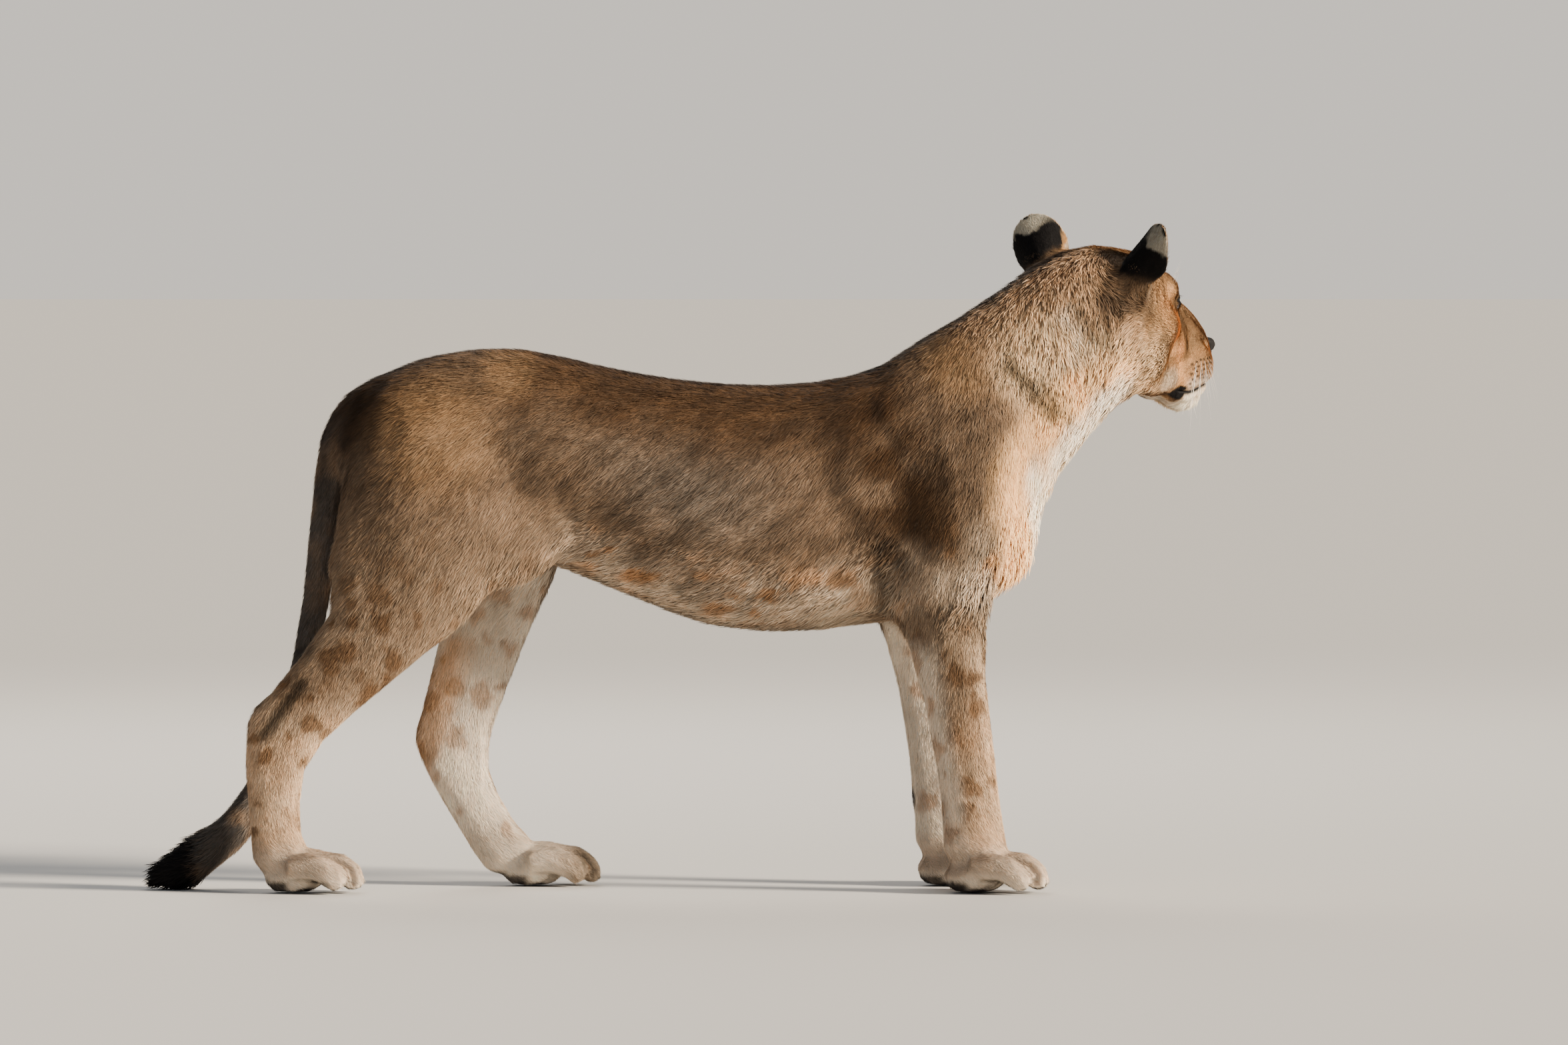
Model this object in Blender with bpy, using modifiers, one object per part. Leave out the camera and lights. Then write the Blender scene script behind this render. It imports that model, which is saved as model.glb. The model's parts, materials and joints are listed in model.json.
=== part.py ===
"""A lioness standing with her head raised and turned to her left.

The animal is built whole and then parted into named pieces.  Every limb is a skeleton line with
flesh measured in front of and behind it, the trunk and head are lofts through cross-sections, and
muscles are ellipsoids.  A voxel remesh fuses them, smoothing lays the hide over them, and thin
slabs part the result.  Units are metres, +Z up, she faces +X and her left is +Y.
"""

import math

import bmesh
import bpy
import numpy as np
from mathutils import Matrix, Vector
from mathutils.bvhtree import BVHTree

# ---------------------------------------------------------------- driving sizes
LEFT, RIGHT = 1, -1
CUT = 0.0005  # width of the parting cuts
CLEARANCE = 0.0004  # between a seated piece, such as an eye, and its seat
VOXEL = 0.0055  # of the remesh that fuses the masses
TRIANGLES = 4200  # of the fused body, before it is parted
GROUND_BOX = (1.5, 1.0, 0.5)  # half sizes of the block that trims the soles flat

# Skeleton: x, y from the animal's midline, and z from the ground.  The finished pieces are moved so
# that the origin is under the middle of their box.
SCAPULA_TOP = Vector((0.355, 0.042, 0.800))
SHOULDER_POINT = Vector((0.478, 0.098, 0.640))
HIP = Vector((-0.415, 0.080, 0.720))

FORE_LEGS = {
    LEFT: dict(
        elbow=Vector((0.352, 0.108, 0.452)),
        carpus=Vector((0.404, 0.088, 0.160)),
        knuckle=Vector((0.412, 0.086, 0.052)),
        paw_x=0.412,
        toes_yaw=6,
    ),
    RIGHT: dict(
        elbow=Vector((0.382, -0.108, 0.452)),
        carpus=Vector((0.446, -0.088, 0.160)),
        knuckle=Vector((0.452, -0.086, 0.052)),
        paw_x=0.452,
        toes_yaw=-6,
    ),
}
HIND_LEGS = {
    LEFT: dict(
        stifle=Vector((-0.222, 0.108, 0.512)),
        hock=Vector((-0.366, 0.088, 0.216)),
        knuckle=Vector((-0.269, 0.084, 0.050)),
        paw_x=-0.240,
        toes_yaw=4,
    ),
    RIGHT: dict(
        stifle=Vector((-0.355, -0.108, 0.445)),
        hock=Vector((-0.628, -0.090, 0.242)),
        knuckle=Vector((-0.620, -0.086, 0.050)),
        paw_x=-0.606,
        toes_yaw=-4,
    ),
}

# Flesh along a limb's bones: (bone, share along it, front, back, half width, outward shift).
FORE_FLESH = [
    ("scapula", -0.02, 0.045, 0.050, 0.030, 0.010),
    ("scapula", 0.30, 0.085, 0.085, 0.045, 0.018),
    ("scapula", 0.65, 0.085, 0.110, 0.052, 0.020),
    ("humerus", 0.05, 0.055, 0.125, 0.055, 0.012),
    ("humerus", 0.45, 0.078, 0.092, 0.056, 0.010),
    ("humerus", 0.85, 0.092, 0.060, 0.052, 0.006),
    ("forearm", 0.06, 0.092, 0.056, 0.050, 0.004),
    ("forearm", 0.22, 0.078, 0.050, 0.047, 0.002),
    ("forearm", 0.45, 0.066, 0.042, 0.043, 0.000),
    ("forearm", 0.72, 0.060, 0.044, 0.041, 0.000),
    ("forearm", 0.95, 0.053, 0.046, 0.042, 0.000),
    ("pastern", 0.35, 0.052, 0.047, 0.041, 0.000),
    ("pastern", 0.80, 0.056, 0.048, 0.044, 0.000),
]
THIGH_FLESH = [
    ("femur", -0.18, 0.110, 0.075, 0.045, -0.008),
    ("femur", 0.12, 0.135, 0.114, 0.060, 0.000),
    ("femur", 0.45, 0.112, 0.146, 0.064, 0.000),
    ("femur", 0.78, 0.080, 0.178, 0.056, -0.002),
    ("femur", 1.02, 0.050, 0.150, 0.046, -0.004),
]
SHANK_FLESH = [
    ("tibia", 0.00, 0.040, 0.120, 0.050, 0.000),
    ("tibia", 0.22, 0.036, 0.120, 0.047, 0.000),
    ("tibia", 0.45, 0.040, 0.104, 0.041, 0.000),
    ("tibia", 0.72, 0.048, 0.086, 0.035, 0.000),
    ("tibia", 0.94, 0.054, 0.066, 0.033, 0.000),
    ("metatarsus", 0.12, 0.045, 0.062, 0.033, 0.000),
    ("metatarsus", 0.40, 0.034, 0.056, 0.033, 0.000),
    ("metatarsus", 0.75, 0.032, 0.053, 0.035, 0.000),
    ("metatarsus", 0.98, 0.038, 0.050, 0.037, 0.000),
]

# Trunk sections: x, top, bottom, half width, height of the widest level as a share of the depth.
TRUNK = [
    (-0.475, 0.799, 0.590, 0.076, 0.52),
    (-0.410, 0.839, 0.550, 0.118, 0.55),
    (-0.330, 0.853, 0.535, 0.124, 0.58),
    (-0.255, 0.855, 0.518, 0.124, 0.60),
    (-0.180, 0.839, 0.496, 0.124, 0.58),
    (-0.090, 0.814, 0.455, 0.130, 0.54),
    (0.010, 0.799, 0.415, 0.142, 0.50),
    (0.110, 0.793, 0.397, 0.150, 0.47),
    (0.210, 0.798, 0.400, 0.150, 0.46),
    (0.310, 0.822, 0.408, 0.142, 0.45),
    (0.390, 0.840, 0.424, 0.128, 0.44),
    (0.455, 0.805, 0.434, 0.108, 0.44),
    (0.498, 0.755, 0.460, 0.086, 0.45),
]

# Neck sections: centre x, y, z, half depth, half width, pitch and yaw of the neck's axis.
NECK = [
    (0.4340, 0.000, 0.689, 0.192, 0.112, 33, 0),
    (0.4675, 0.001, 0.737, 0.166, 0.106, 34, 3),
    (0.5110, 0.004, 0.775, 0.151, 0.100, 34, 10),
    (0.5560, 0.014, 0.815, 0.140, 0.096, 31, 20),
    (0.6000, 0.034, 0.858, 0.135, 0.096, 27, 31),
    (0.6380, 0.060, 0.888, 0.128, 0.098, 22, 40),
]

# Head frame: its origin is midway between the eyes; the axes are forward, left and up.
HEAD_ORIGIN = Vector((0.728, 0.154, 0.918))
HEAD_YAW, HEAD_NOSE_UP, HEAD_ROLL = 50, 6, 3.5

# Head core sections: forward, top, bottom, half width, squareness.
HEAD_CORE = [
    (-0.241, 0.070, -0.085, 0.063, 2.0),
    (-0.196, 0.102, -0.118, 0.085, 2.4),
    (-0.140, 0.116, -0.132, 0.096, 2.5),
    (-0.090, 0.106, -0.138, 0.093, 2.4),
    (-0.050, 0.086, -0.142, 0.083, 2.3),
    (-0.011, 0.055, -0.146, 0.066, 2.2),
    (0.034, 0.016, -0.152, 0.053, 2.5),
    (0.078, -0.018, -0.160, 0.047, 2.8),
    (0.110, -0.046, -0.154, 0.040, 2.8),
]
# Lumps of the head: name, forward, left, up, radii, yaw outwards; those off the middle are mirrored.
HEAD_LUMPS = [
    ("brow", -0.034, 0.049, 0.028, (0.054, 0.033, 0.029), 25),
    ("temple", -0.100, 0.060, 0.026, (0.078, 0.042, 0.056), 12),
    ("cheekbone", -0.062, 0.071, -0.028, (0.074, 0.033, 0.040), 24),
    ("cheek_front", 0.011, 0.040, -0.066, (0.076, 0.025, 0.050), 22),
    ("masseter", -0.112, 0.071, -0.062, (0.085, 0.043, 0.068), 12),
    ("jowl", -0.151, 0.066, -0.088, (0.078, 0.038, 0.054), 10),
    ("ear_root", -0.136, 0.092, 0.036, (0.046, 0.036, 0.042), 25),
    ("jaw", -0.016, 0.036, -0.116, (0.101, 0.029, 0.034), 18),
    ("whisker_pad", 0.065, 0.031, -0.108, (0.062, 0.030, 0.037), 6),
    ("lower_lip", 0.058, 0.020, -0.148, (0.056, 0.024, 0.023), 10),
    ("nostril_wing", 0.114, 0.012, -0.084, (0.027, 0.013, 0.018), 6),
]
HEAD_MIDDLE_LUMPS = [
    ("forehead", -0.067, 0.000, 0.030, (0.065, 0.054, 0.066), 0),
    ("nose_bridge", 0.065, 0.000, -0.031, (0.085, 0.031, 0.024), 36),
    ("nose_tip", 0.122, 0.000, -0.078, (0.028, 0.024, 0.021), 0),
    ("chin", 0.085, 0.000, -0.164, (0.046, 0.033, 0.028), 0),
]

# Tail: x, y from the midline, z and radius along its bones, from the rump to the tuft's tip.
TAIL = [
    (-0.430, 0.000, 0.770, 0.052),
    (-0.480, 0.000, 0.774, 0.040),
    (-0.521, 0.000, 0.748, 0.031),
    (-0.546, 0.002, 0.700, 0.026),
    (-0.556, 0.004, 0.620, 0.022),
    (-0.563, 0.005, 0.530, 0.021),
    (-0.574, 0.005, 0.440, 0.020),
    (-0.592, 0.004, 0.350, 0.019),
    (-0.618, 0.002, 0.260, 0.019),
    (-0.652, 0.000, 0.172, 0.021),
    (-0.698, -0.002, 0.100, 0.025),
    (-0.745, -0.004, 0.062, 0.029),
    (-0.785, -0.006, 0.029, 0.031),
    (-0.812, -0.007, 0.024, 0.020),
]

# Ears, eyes and nose, in the head frame; what is off the middle is given for the left side.
EAR_MIDDLE = Vector((-0.114, 0.115, 0.086))
EAR_HALF_HEIGHT, EAR_HALF_WIDTH, EAR_THICKNESS, EAR_CUP = 0.060, 0.046, 0.009, 0.080
EAR_LEAN, EAR_FACING, EAR_PITCH = 25, 28, -4  # degrees outwards, degrees turned outwards, backwards
EYE_SIGHT = Vector((-0.003, 0.053, 0.002))  # a point on the line the eye looks along
EYE_FACING, EYE_RADIUS, EYE_SET = 25, 0.0185, 0.0085
SOCKET_RADIUS = EYE_RADIUS + CLEARANCE * 2
NOSE = Vector((0.130, 0.0, -0.088))
NOSE_RADII = (0.0235, 0.031, 0.0215)
MOUTH_UP, MOUTH_CORNER = -0.142, 0.020  # of the parting line, and how far forward its corner lies
TOE_RADIUS = 0.021

SURFACES = {  # colour, roughness
    "coat": ((0.56, 0.37, 0.20), 0.90),
    "pale_coat": ((0.78, 0.70, 0.58), 0.90),
    "dark_coat": ((0.045, 0.038, 0.034), 0.90),
    "eye": ((0.36, 0.19, 0.05), 0.12),
    "nose": ((0.030, 0.022, 0.020), 0.45),
}

# Where each piece of the parted body lies, x, y from the midline and z, and its surface.
PIECES = {
    "head": ((0.655, 0.080, 0.900), "coat"),
    "lower_jaw": ((0.785, 0.200, 0.765), "pale_coat"),
    "neck": ((0.550, 0.010, 0.810), "coat"),
    "chest": ((0.150, 0.000, 0.600), "coat"),
    "belly": ((-0.130, 0.000, 0.650), "coat"),
    "rump": ((-0.360, 0.000, 0.700), "coat"),
    "tail_root": ((-0.562, 0.004, 0.560), "coat"),
    "tail_middle": ((-0.590, 0.004, 0.360), "coat"),
    "tail_end": ((-0.688, -0.002, 0.115), "coat"),
    "tail_tuft": ((-0.785, -0.006, 0.030), "dark_coat"),
    "shoulder_left": ((0.400, 0.120, 0.620), "coat"),
    "shoulder_right": ((0.400, -0.120, 0.620), "coat"),
    "forearm_left": ((0.390, 0.100, 0.300), "coat"),
    "forearm_right": ((0.430, -0.100, 0.300), "coat"),
    "forepaw_left": ((0.440, 0.086, 0.050), "pale_coat"),
    "forepaw_right": ((0.480, -0.086, 0.050), "pale_coat"),
    "thigh_left": ((-0.350, 0.100, 0.600), "coat"),
    "thigh_right": ((-0.410, -0.100, 0.600), "coat"),
    "shank_left": ((-0.310, 0.100, 0.330), "pale_coat"),
    "shank_right": ((-0.510, -0.100, 0.340), "coat"),
    "hind_foot_left": ((-0.330, 0.088, 0.150), "pale_coat"),
    "hind_foot_right": ((-0.625, -0.088, 0.160), "coat"),
    "hind_paw_left": ((-0.210, 0.086, 0.040), "pale_coat"),
    "hind_paw_right": ((-0.580, -0.086, 0.040), "pale_coat"),
}


# ---------------------------------------------------------------- shape tools
def smooth_rows(rows, steps):
    """Catmull-Rom curve through the rows of a table, with this many steps between two rows."""
    table = np.array(rows, float)
    table = np.vstack([2 * table[0] - table[1], table, 2 * table[-1] - table[-2]])
    share = np.linspace(0, 1, steps, endpoint=False)[:, None]
    parts = []
    for before, start, end, after in zip(table, table[1:], table[2:], table[3:]):
        parts.append(
            0.5
            * (
                2 * start
                + (end - before) * share
                + (2 * before - 5 * start + 4 * end - after) * share**2
                + (3 * start - before - 3 * end + after) * share**3
            )
        )
    return np.vstack([*parts, table[-2:-1]])


def tube(centres, depth_axes, width_axes, half_depths, half_widths, squareness=2.0, sides=24, egg=0.0):
    """Closed loft of superellipse rings with rounded ends, as (points, faces)."""
    centres, depth_axes, width_axes = map(np.asarray, (centres, depth_axes, width_axes))
    count = len(centres)
    squareness = np.broadcast_to(squareness, count)
    egg = np.broadcast_to(egg, count)
    turn = np.linspace(0, 2 * math.pi, sides, endpoint=False)
    cosine, sine = np.cos(turn), np.sin(turn)
    power = 2 / squareness[:, None]
    deep = np.sign(cosine) * np.abs(cosine) ** power
    wide = np.sign(sine) * np.abs(sine) ** power * (1 + egg[:, None] * cosine)
    rings = (
        centres[:, None]
        + (np.asarray(half_depths)[:, None] * deep)[..., None] * depth_axes[:, None]
        + (np.asarray(half_widths)[:, None] * wide)[..., None] * width_axes[:, None]
    )

    def cap(end, inward):
        """Rings that round an end off to a pole."""
        out = centres[end] - centres[inward]
        out = out / np.linalg.norm(out) * min(half_depths[end], half_widths[end]) * 0.8
        steps = [math.radians(angle) for angle in (30, 55, 75)]
        made = [centres[end] + out * math.sin(a) + (rings[end] - centres[end]) * math.cos(a) for a in steps]
        return made, centres[end] + out

    head, head_pole = cap(0, 1)
    foot, foot_pole = cap(-1, -2)
    rings = np.array([*head[::-1], *rings, *foot])
    points = np.vstack([rings.reshape(-1, 3), head_pole, foot_pole])
    base = np.arange(len(rings) - 1)[:, None] * sides + np.arange(sides)
    beside = np.arange(len(rings) - 1)[:, None] * sides + (np.arange(sides) + 1) % sides
    quads = np.stack([base, beside, beside + sides, base + sides], -1).reshape(-1, 4)
    first, last = len(points) - 2, len(points) - 1
    start = (len(rings) - 1) * sides
    fans = [(first, (i + 1) % sides, i) for i in range(sides)]
    fans += [(last, start + i, start + (i + 1) % sides) for i in range(sides)]
    return points, [tuple(map(int, quad)) for quad in quads] + fans


def linked(name, form):
    """An object of the scene made from a bmesh, which is freed."""
    mesh = bpy.data.meshes.new(name)
    form.to_mesh(mesh)
    form.free()
    obj = bpy.data.objects.new(name, mesh)
    bpy.context.scene.collection.objects.link(obj)
    return obj


def add_mesh(name, points, faces):
    """A mesh object with its faces turned outwards."""
    mesh = bpy.data.meshes.new(name)
    mesh.from_pydata([tuple(map(float, p)) for p in points], [], faces)
    form = bmesh.new()
    form.from_mesh(mesh)
    bpy.data.meshes.remove(mesh)
    bmesh.ops.recalc_face_normals(form, faces=form.faces)
    return linked(name, form)


def ellipsoid(name, place, radii, turn=Matrix.Identity(4), segments=18):
    """A sphere scaled, turned and placed, with its transform in its mesh."""
    form = bmesh.new()
    matrix = Matrix.Translation(place) @ turn @ Matrix.Diagonal((*radii, 1))
    rings = segments // 2 + 1
    bmesh.ops.create_uvsphere(form, u_segments=segments, v_segments=rings, radius=1, matrix=matrix)
    return linked(name, form)


def turn_about(axis, degrees):
    """Rotation matrix about a named axis."""
    return Matrix.Rotation(math.radians(degrees), 4, axis)


HEAD_FRAME = (
    Matrix.Translation(HEAD_ORIGIN)
    @ turn_about("Z", HEAD_YAW)
    @ turn_about("Y", -HEAD_NOSE_UP)
    @ turn_about("X", HEAD_ROLL)
)


def points_of(obj):
    """Vertex positions as an array."""
    points = np.empty(len(obj.data.vertices) * 3, np.float32)
    obj.data.vertices.foreach_get("co", points)
    return points.reshape(-1, 3).astype(float)


def near(points, place, reach):
    """1 at a place and 0 past its reach, fading smoothly."""
    share = np.clip(1 - np.linalg.norm(points - np.array(place), axis=1) / reach, 0, 1)
    return share**2 * (3 - 2 * share)


def weigh(obj, name, weights):
    """A vertex group that holds these weights, in tenths."""
    group = obj.vertex_groups.new(name=name)
    for level in range(1, 11):
        chosen = np.nonzero(np.round(weights * 10) == level)[0]
        group.add([int(i) for i in chosen], level / 10, "REPLACE")
    return group.name


def applied(obj):
    """The object with its modifiers made part of its mesh."""
    graph = bpy.context.evaluated_depsgraph_get()
    mesh = bpy.data.meshes.new_from_object(obj.evaluated_get(graph))
    obj.modifiers.clear()
    obj.data = mesh
    return obj


def joined(name, objects):
    """One object that holds the meshes of all these, which are removed."""
    form = bmesh.new()
    for obj in objects:
        form.from_mesh(obj.data)
        bpy.data.objects.remove(obj)
    return linked(name, form)


def limb(name, bones, flesh, side):
    """Loft along a chain of bones, its rings square to the smoothed line of the flesh's middle."""
    rows = []
    for bone, share, front, back, half_width, outward in flesh:
        start, end = bones[bone]
        along = (end - start).normalized()
        forward = Vector((0, side, 0)).cross(along).normalized() * side
        if forward.x < 0:
            forward.negate()
        middle = start.lerp(end, share) + forward * (front - back) / 2
        middle.y += side * outward
        rows.append((*middle, (front + back) / 2, half_width, *forward))
    table = smooth_rows(rows, 4)
    centres, half_depths, half_widths = table[:, :3], table[:, 3], table[:, 4]
    forward = table[:, 5:] / np.linalg.norm(table[:, 5:], axis=1)[:, None]
    sideways = np.tile((0.0, 1.0, 0.0), (len(table), 1))
    return add_mesh(name, *tube(centres, forward, sideways, half_depths, half_widths, 2.25))


# ---------------------------------------------------------------- the animal's masses
def trunk():
    """Ribcage, belly and croup as one loft along X."""
    table = smooth_rows(TRUNK, 4)
    x, top, bottom, half_width, widest = table.T
    centres = np.stack([x, np.zeros_like(x), (top + bottom) / 2], 1)
    up = np.tile((0.0, 0.0, 1.0), (len(x), 1))
    across = np.tile((0.0, 1.0, 0.0), (len(x), 1))
    egg = (widest - 0.5) * 1.2
    loft = tube(centres, up, across, (top - bottom) / 2, half_width, 2.15, 32, egg)
    return add_mesh("trunk_mass", *loft)


def neck():
    """Loft from the chest to the nape, turning left as it rises."""
    table = smooth_rows(NECK, 4)
    centres, half_depths, half_widths = table[:, :3], table[:, 3], table[:, 4]
    pitch, yaw = np.radians(table[:, 5]), np.radians(table[:, 6])
    depth = np.stack([-np.sin(pitch) * np.cos(yaw), -np.sin(pitch) * np.sin(yaw), np.cos(pitch)], 1)
    width = np.stack([-np.sin(yaw), np.cos(yaw), np.zeros_like(yaw)], 1)
    return add_mesh("neck_mass", *tube(centres, depth, width, half_depths, half_widths, 2.1, 28, 0.0))


def head_masses():
    """Skull and muzzle core with the lumps of the face, in the head's own frame."""
    table = smooth_rows(HEAD_CORE, 4)
    forward, top, bottom, half_width, squareness = table.T
    centres = np.stack([forward, np.zeros_like(forward), (top + bottom) / 2], 1)
    up = np.tile((0.0, 0.0, 1.0), (len(table), 1))
    across = np.tile((0.0, 1.0, 0.0), (len(table), 1))
    core = tube(centres, up, across, (top - bottom) / 2, half_width, squareness, 32, -0.12)
    made = [add_mesh("head_core", *core)]
    for side in (LEFT, RIGHT):
        for name, ahead, left, high, radii, yaw in HEAD_LUMPS:
            place = Vector((ahead, side * left, high))
            made.append(ellipsoid(name, place, radii, turn_about("Z", -side * yaw)))
    for name, ahead, left, high, radii, nose_down in HEAD_MIDDLE_LUMPS:
        made.append(ellipsoid(name, Vector((ahead, left, high)), radii, turn_about("Y", nose_down)))
    for obj in made:
        obj.data.transform(HEAD_FRAME)
    return made


def paw(name, pose, side, reach, half_width):
    """Four arched toes and the two-lobed pad behind them; reach is from the pad to the tips."""
    frame = Matrix.Translation((pose["paw_x"], pose["knuckle"].y, 0)) @ turn_about("Z", pose["toes_yaw"])
    made = [
        ellipsoid("pad", Vector((0.002, 0, 0.026)), (0.050, half_width * 0.86, 0.032)),
        ellipsoid("instep", Vector((0.022, 0, 0.042)), (0.052, half_width * 0.82, 0.030)),
    ]
    for place, ahead in ((-1.5, -0.022), (-0.5, 0.0), (0.5, 0.0), (1.5, -0.022)):
        y = place * half_width * 0.50
        tip = reach + ahead
        spread = turn_about("Z", place * 4)
        rows = [
            (tip - 0.085, 0.042, TOE_RADIUS * 0.95),
            (tip - 0.050, 0.044, TOE_RADIUS * 1.05),
            (tip - 0.024, 0.030, TOE_RADIUS * 1.02),
            (tip - 0.015, 0.016, TOE_RADIUS * 0.80),
        ]
        table = smooth_rows(rows, 3)
        centres = np.stack([table[:, 0], np.full(len(table), y), table[:, 1]], 1)
        along = np.gradient(centres, axis=0)
        along /= np.linalg.norm(along, axis=1)[:, None]
        across = np.tile((0.0, 1.0, 0.0), (len(table), 1))
        depth = np.cross(along, across)
        toe = add_mesh("toe", *tube(centres, depth, across, table[:, 2], table[:, 2] * 0.92, 2.0, 16))
        toe.data.transform(spread)
        made.append(toe)
    for obj in made:
        obj.name = name + "_" + obj.name
        obj.data.transform(frame)
    return made


def fore_leg(side):
    """Shoulder, arm, forearm, pastern and paw of one side."""
    pose = FORE_LEGS[side]
    top, point = SCAPULA_TOP.copy(), SHOULDER_POINT.copy()
    top.y, point.y = side * top.y, side * point.y
    point.x += (pose["elbow"].x - FORE_LEGS[RIGHT]["elbow"].x) * 0.4
    bones = {
        "scapula": (top, point),
        "humerus": (point, pose["elbow"]),
        "forearm": (pose["elbow"], pose["carpus"]),
        "pastern": (pose["carpus"], pose["knuckle"]),
    }
    made = [limb("fore_mass", bones, FORE_FLESH, side)]
    elbow_point = pose["elbow"] + Vector((-0.030, side * 0.004, 0.012))
    made.append(ellipsoid("elbow", elbow_point, (0.034, 0.028, 0.046)))
    pad = pose["carpus"] + Vector((-0.046, 0, -0.020))
    made.append(ellipsoid("carpal_pad", pad, (0.015, 0.014, 0.018)))
    made += paw("fore", pose, side, 0.120, 0.056)
    return made


def hind_leg(side):
    """Thigh, shank, hock, metatarsus and paw of one side."""
    pose = HIND_LEGS[side]
    hip = HIP.copy()
    hip.y = side * hip.y
    bones = {
        "femur": (hip, pose["stifle"]),
        "tibia": (pose["stifle"], pose["hock"]),
        "metatarsus": (pose["hock"], pose["knuckle"]),
    }
    made = [limb("thigh_mass", bones, THIGH_FLESH, side), limb("shank_mass", bones, SHANK_FLESH, side)]
    along = (pose["hock"] - pose["stifle"]).normalized()
    backward = Vector((along.z, 0, -along.x)) * (1 if along.z < 0 else -1)
    heel = pose["hock"] + backward * 0.034 + Vector((-0.017, 0, 0.004))
    made.append(ellipsoid("heel", heel, (0.020, 0.021, 0.030)))
    flank = Vector((-0.275, side * 0.088, 0.545))
    made.append(ellipsoid("flank_fold", flank, (0.095, 0.034, 0.075), turn_about("Y", 25)))
    made += paw("hind", pose, side, 0.112, 0.048)
    return made


def tail():
    """Tapered loft from the croup to the tuft's tip."""
    table = smooth_rows(TAIL, 4)
    centres, radius = table[:, :3], table[:, 3]
    along = np.gradient(centres, axis=0)
    along /= np.linalg.norm(along, axis=1)[:, None]
    across = np.tile((0.0, 1.0, 0.0), (len(table), 1))
    depth = np.cross(across, along)
    return add_mesh("tail_mass", *tube(centres, depth, across, radius, radius, 2.0, 16))


def body_masses():
    """Every overlapping mass of the animal, around the midline y = 0."""
    made = [trunk(), neck(), tail(), *head_masses()]
    for side in (LEFT, RIGHT):
        made += fore_leg(side) + hind_leg(side)
    return made


# ---------------------------------------------------------------- one hide over them
def fused_body():
    """The masses under one smooth hide."""
    whole = joined("lioness", body_masses())
    remesh = whole.modifiers.new("Fuse", "REMESH")
    remesh.mode = "VOXEL"
    remesh.voxel_size = VOXEL
    applied(whole)
    points = points_of(whole)
    face = near(points, HEAD_FRAME @ Vector((0.065, 0, -0.08)), 0.18)
    feet = np.clip((0.15 - points[:, 2]) / 0.09, 0, 1)
    loose = np.clip((points[:, 2] - 0.36) / 0.14, 0, 1) * (points[:, 0] > -0.53)
    loose *= 1 - near(points, HEAD_FRAME @ Vector((0, 0, -0.03)), 0.26)
    for name, weights, rounds in (("limbs", 1 - np.maximum(face, feet), 14), ("body", loose, 60)):
        smooth = whole.modifiers.new(name, "SMOOTH")
        smooth.factor, smooth.iterations, smooth.vertex_group = 0.5, rounds, weigh(whole, name, weights)
    every = whole.modifiers.new("Everywhere", "SMOOTH")
    every.factor, every.iterations = 0.5, 6
    return applied(whole)


def thinned(whole):
    """The body with fewer faces, which stay closest on the head and feet."""
    points = points_of(whole)
    head = near(points, HEAD_FRAME @ Vector((0.03, 0, -0.05)), 0.24)
    coarse = 1 - np.maximum(head * 0.62, np.clip((0.12 - points[:, 2]) / 0.08, 0, 0.12))
    fewer = whole.modifiers.new("Fewer", "DECIMATE")
    fewer.ratio = TRIANGLES / (2 * len(whole.data.polygons))
    fewer.vertex_group = weigh(whole, "coarse", coarse)
    fewer.vertex_group_factor = 0.03
    fewer.use_collapse_triangulate = True
    return applied(whole)


# ---------------------------------------------------------------- cutting
def cutter(obj):
    """Files an object with the cutters, which are drawn as wire and never rendered."""
    holder = bpy.data.collections.get("cutters")
    if holder is None:
        holder = bpy.data.collections.new("cutters")
        bpy.context.scene.collection.children.link(holder)
    for home in list(obj.users_collection):
        home.objects.unlink(obj)
    holder.objects.link(obj)
    obj.hide_render = True
    obj.display_type = "WIRE"
    return obj


def box(name, place, half, turn=Matrix.Identity(4)):
    """A box cutter of these half sizes."""
    form = bmesh.new()
    matrix = Matrix.Translation(place) @ turn @ Matrix.Diagonal((*half, 1))
    bmesh.ops.create_cube(form, size=2, matrix=matrix)
    return cutter(linked(name, form))


def slab(name, place, normal, reach, across=(0, 1, 0)):
    """A cutter: a thin box square to the normal; reach is its half size (along, across)."""
    normal = Vector(normal).normalized()
    along = Vector(across).cross(normal).normalized()
    turn = Matrix((along, normal.cross(along), normal)).transposed().to_4x4()
    return box(name, place, (*reach, CUT / 2), turn)


def head_slab(name, place, normal, reach):
    """A slab given in the head frame."""
    turn = HEAD_FRAME.to_3x3()
    return slab(name, HEAD_FRAME @ Vector(place), turn @ Vector(normal), reach, turn @ Vector((0, 1, 0)))


def cut(obj, tools, operation="DIFFERENCE"):
    """The object after a Boolean with each tool in turn."""
    for tool in tools:
        step = obj.modifiers.new(tool.name, "BOOLEAN")
        step.operation, step.solver, step.object = operation, "EXACT", tool
        applied(obj)
    return obj


def loose_parts(obj):
    """Every separate closed shell of an object as a mesh of its own."""
    form = bmesh.new()
    form.from_mesh(obj.data)
    form.verts.ensure_lookup_table()
    waiting = set(range(len(form.verts)))
    shells = []
    while waiting:
        reached = [waiting.pop()]
        shell = set(reached)
        while reached:
            vert = form.verts[reached.pop()]
            beside = {edge.other_vert(vert).index for edge in vert.link_edges} & waiting
            waiting -= beside
            shell |= beside
            reached += beside
        shells.append(shell)
    meshes = []
    for shell in shells:
        piece = form.copy()
        piece.verts.ensure_lookup_table()
        bmesh.ops.delete(piece, geom=[v for v in piece.verts if v.index not in shell], context="VERTS")
        mesh = bpy.data.meshes.new("shell")
        piece.to_mesh(mesh)
        piece.free()
        meshes.append(mesh)
    form.free()
    return meshes


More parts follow.
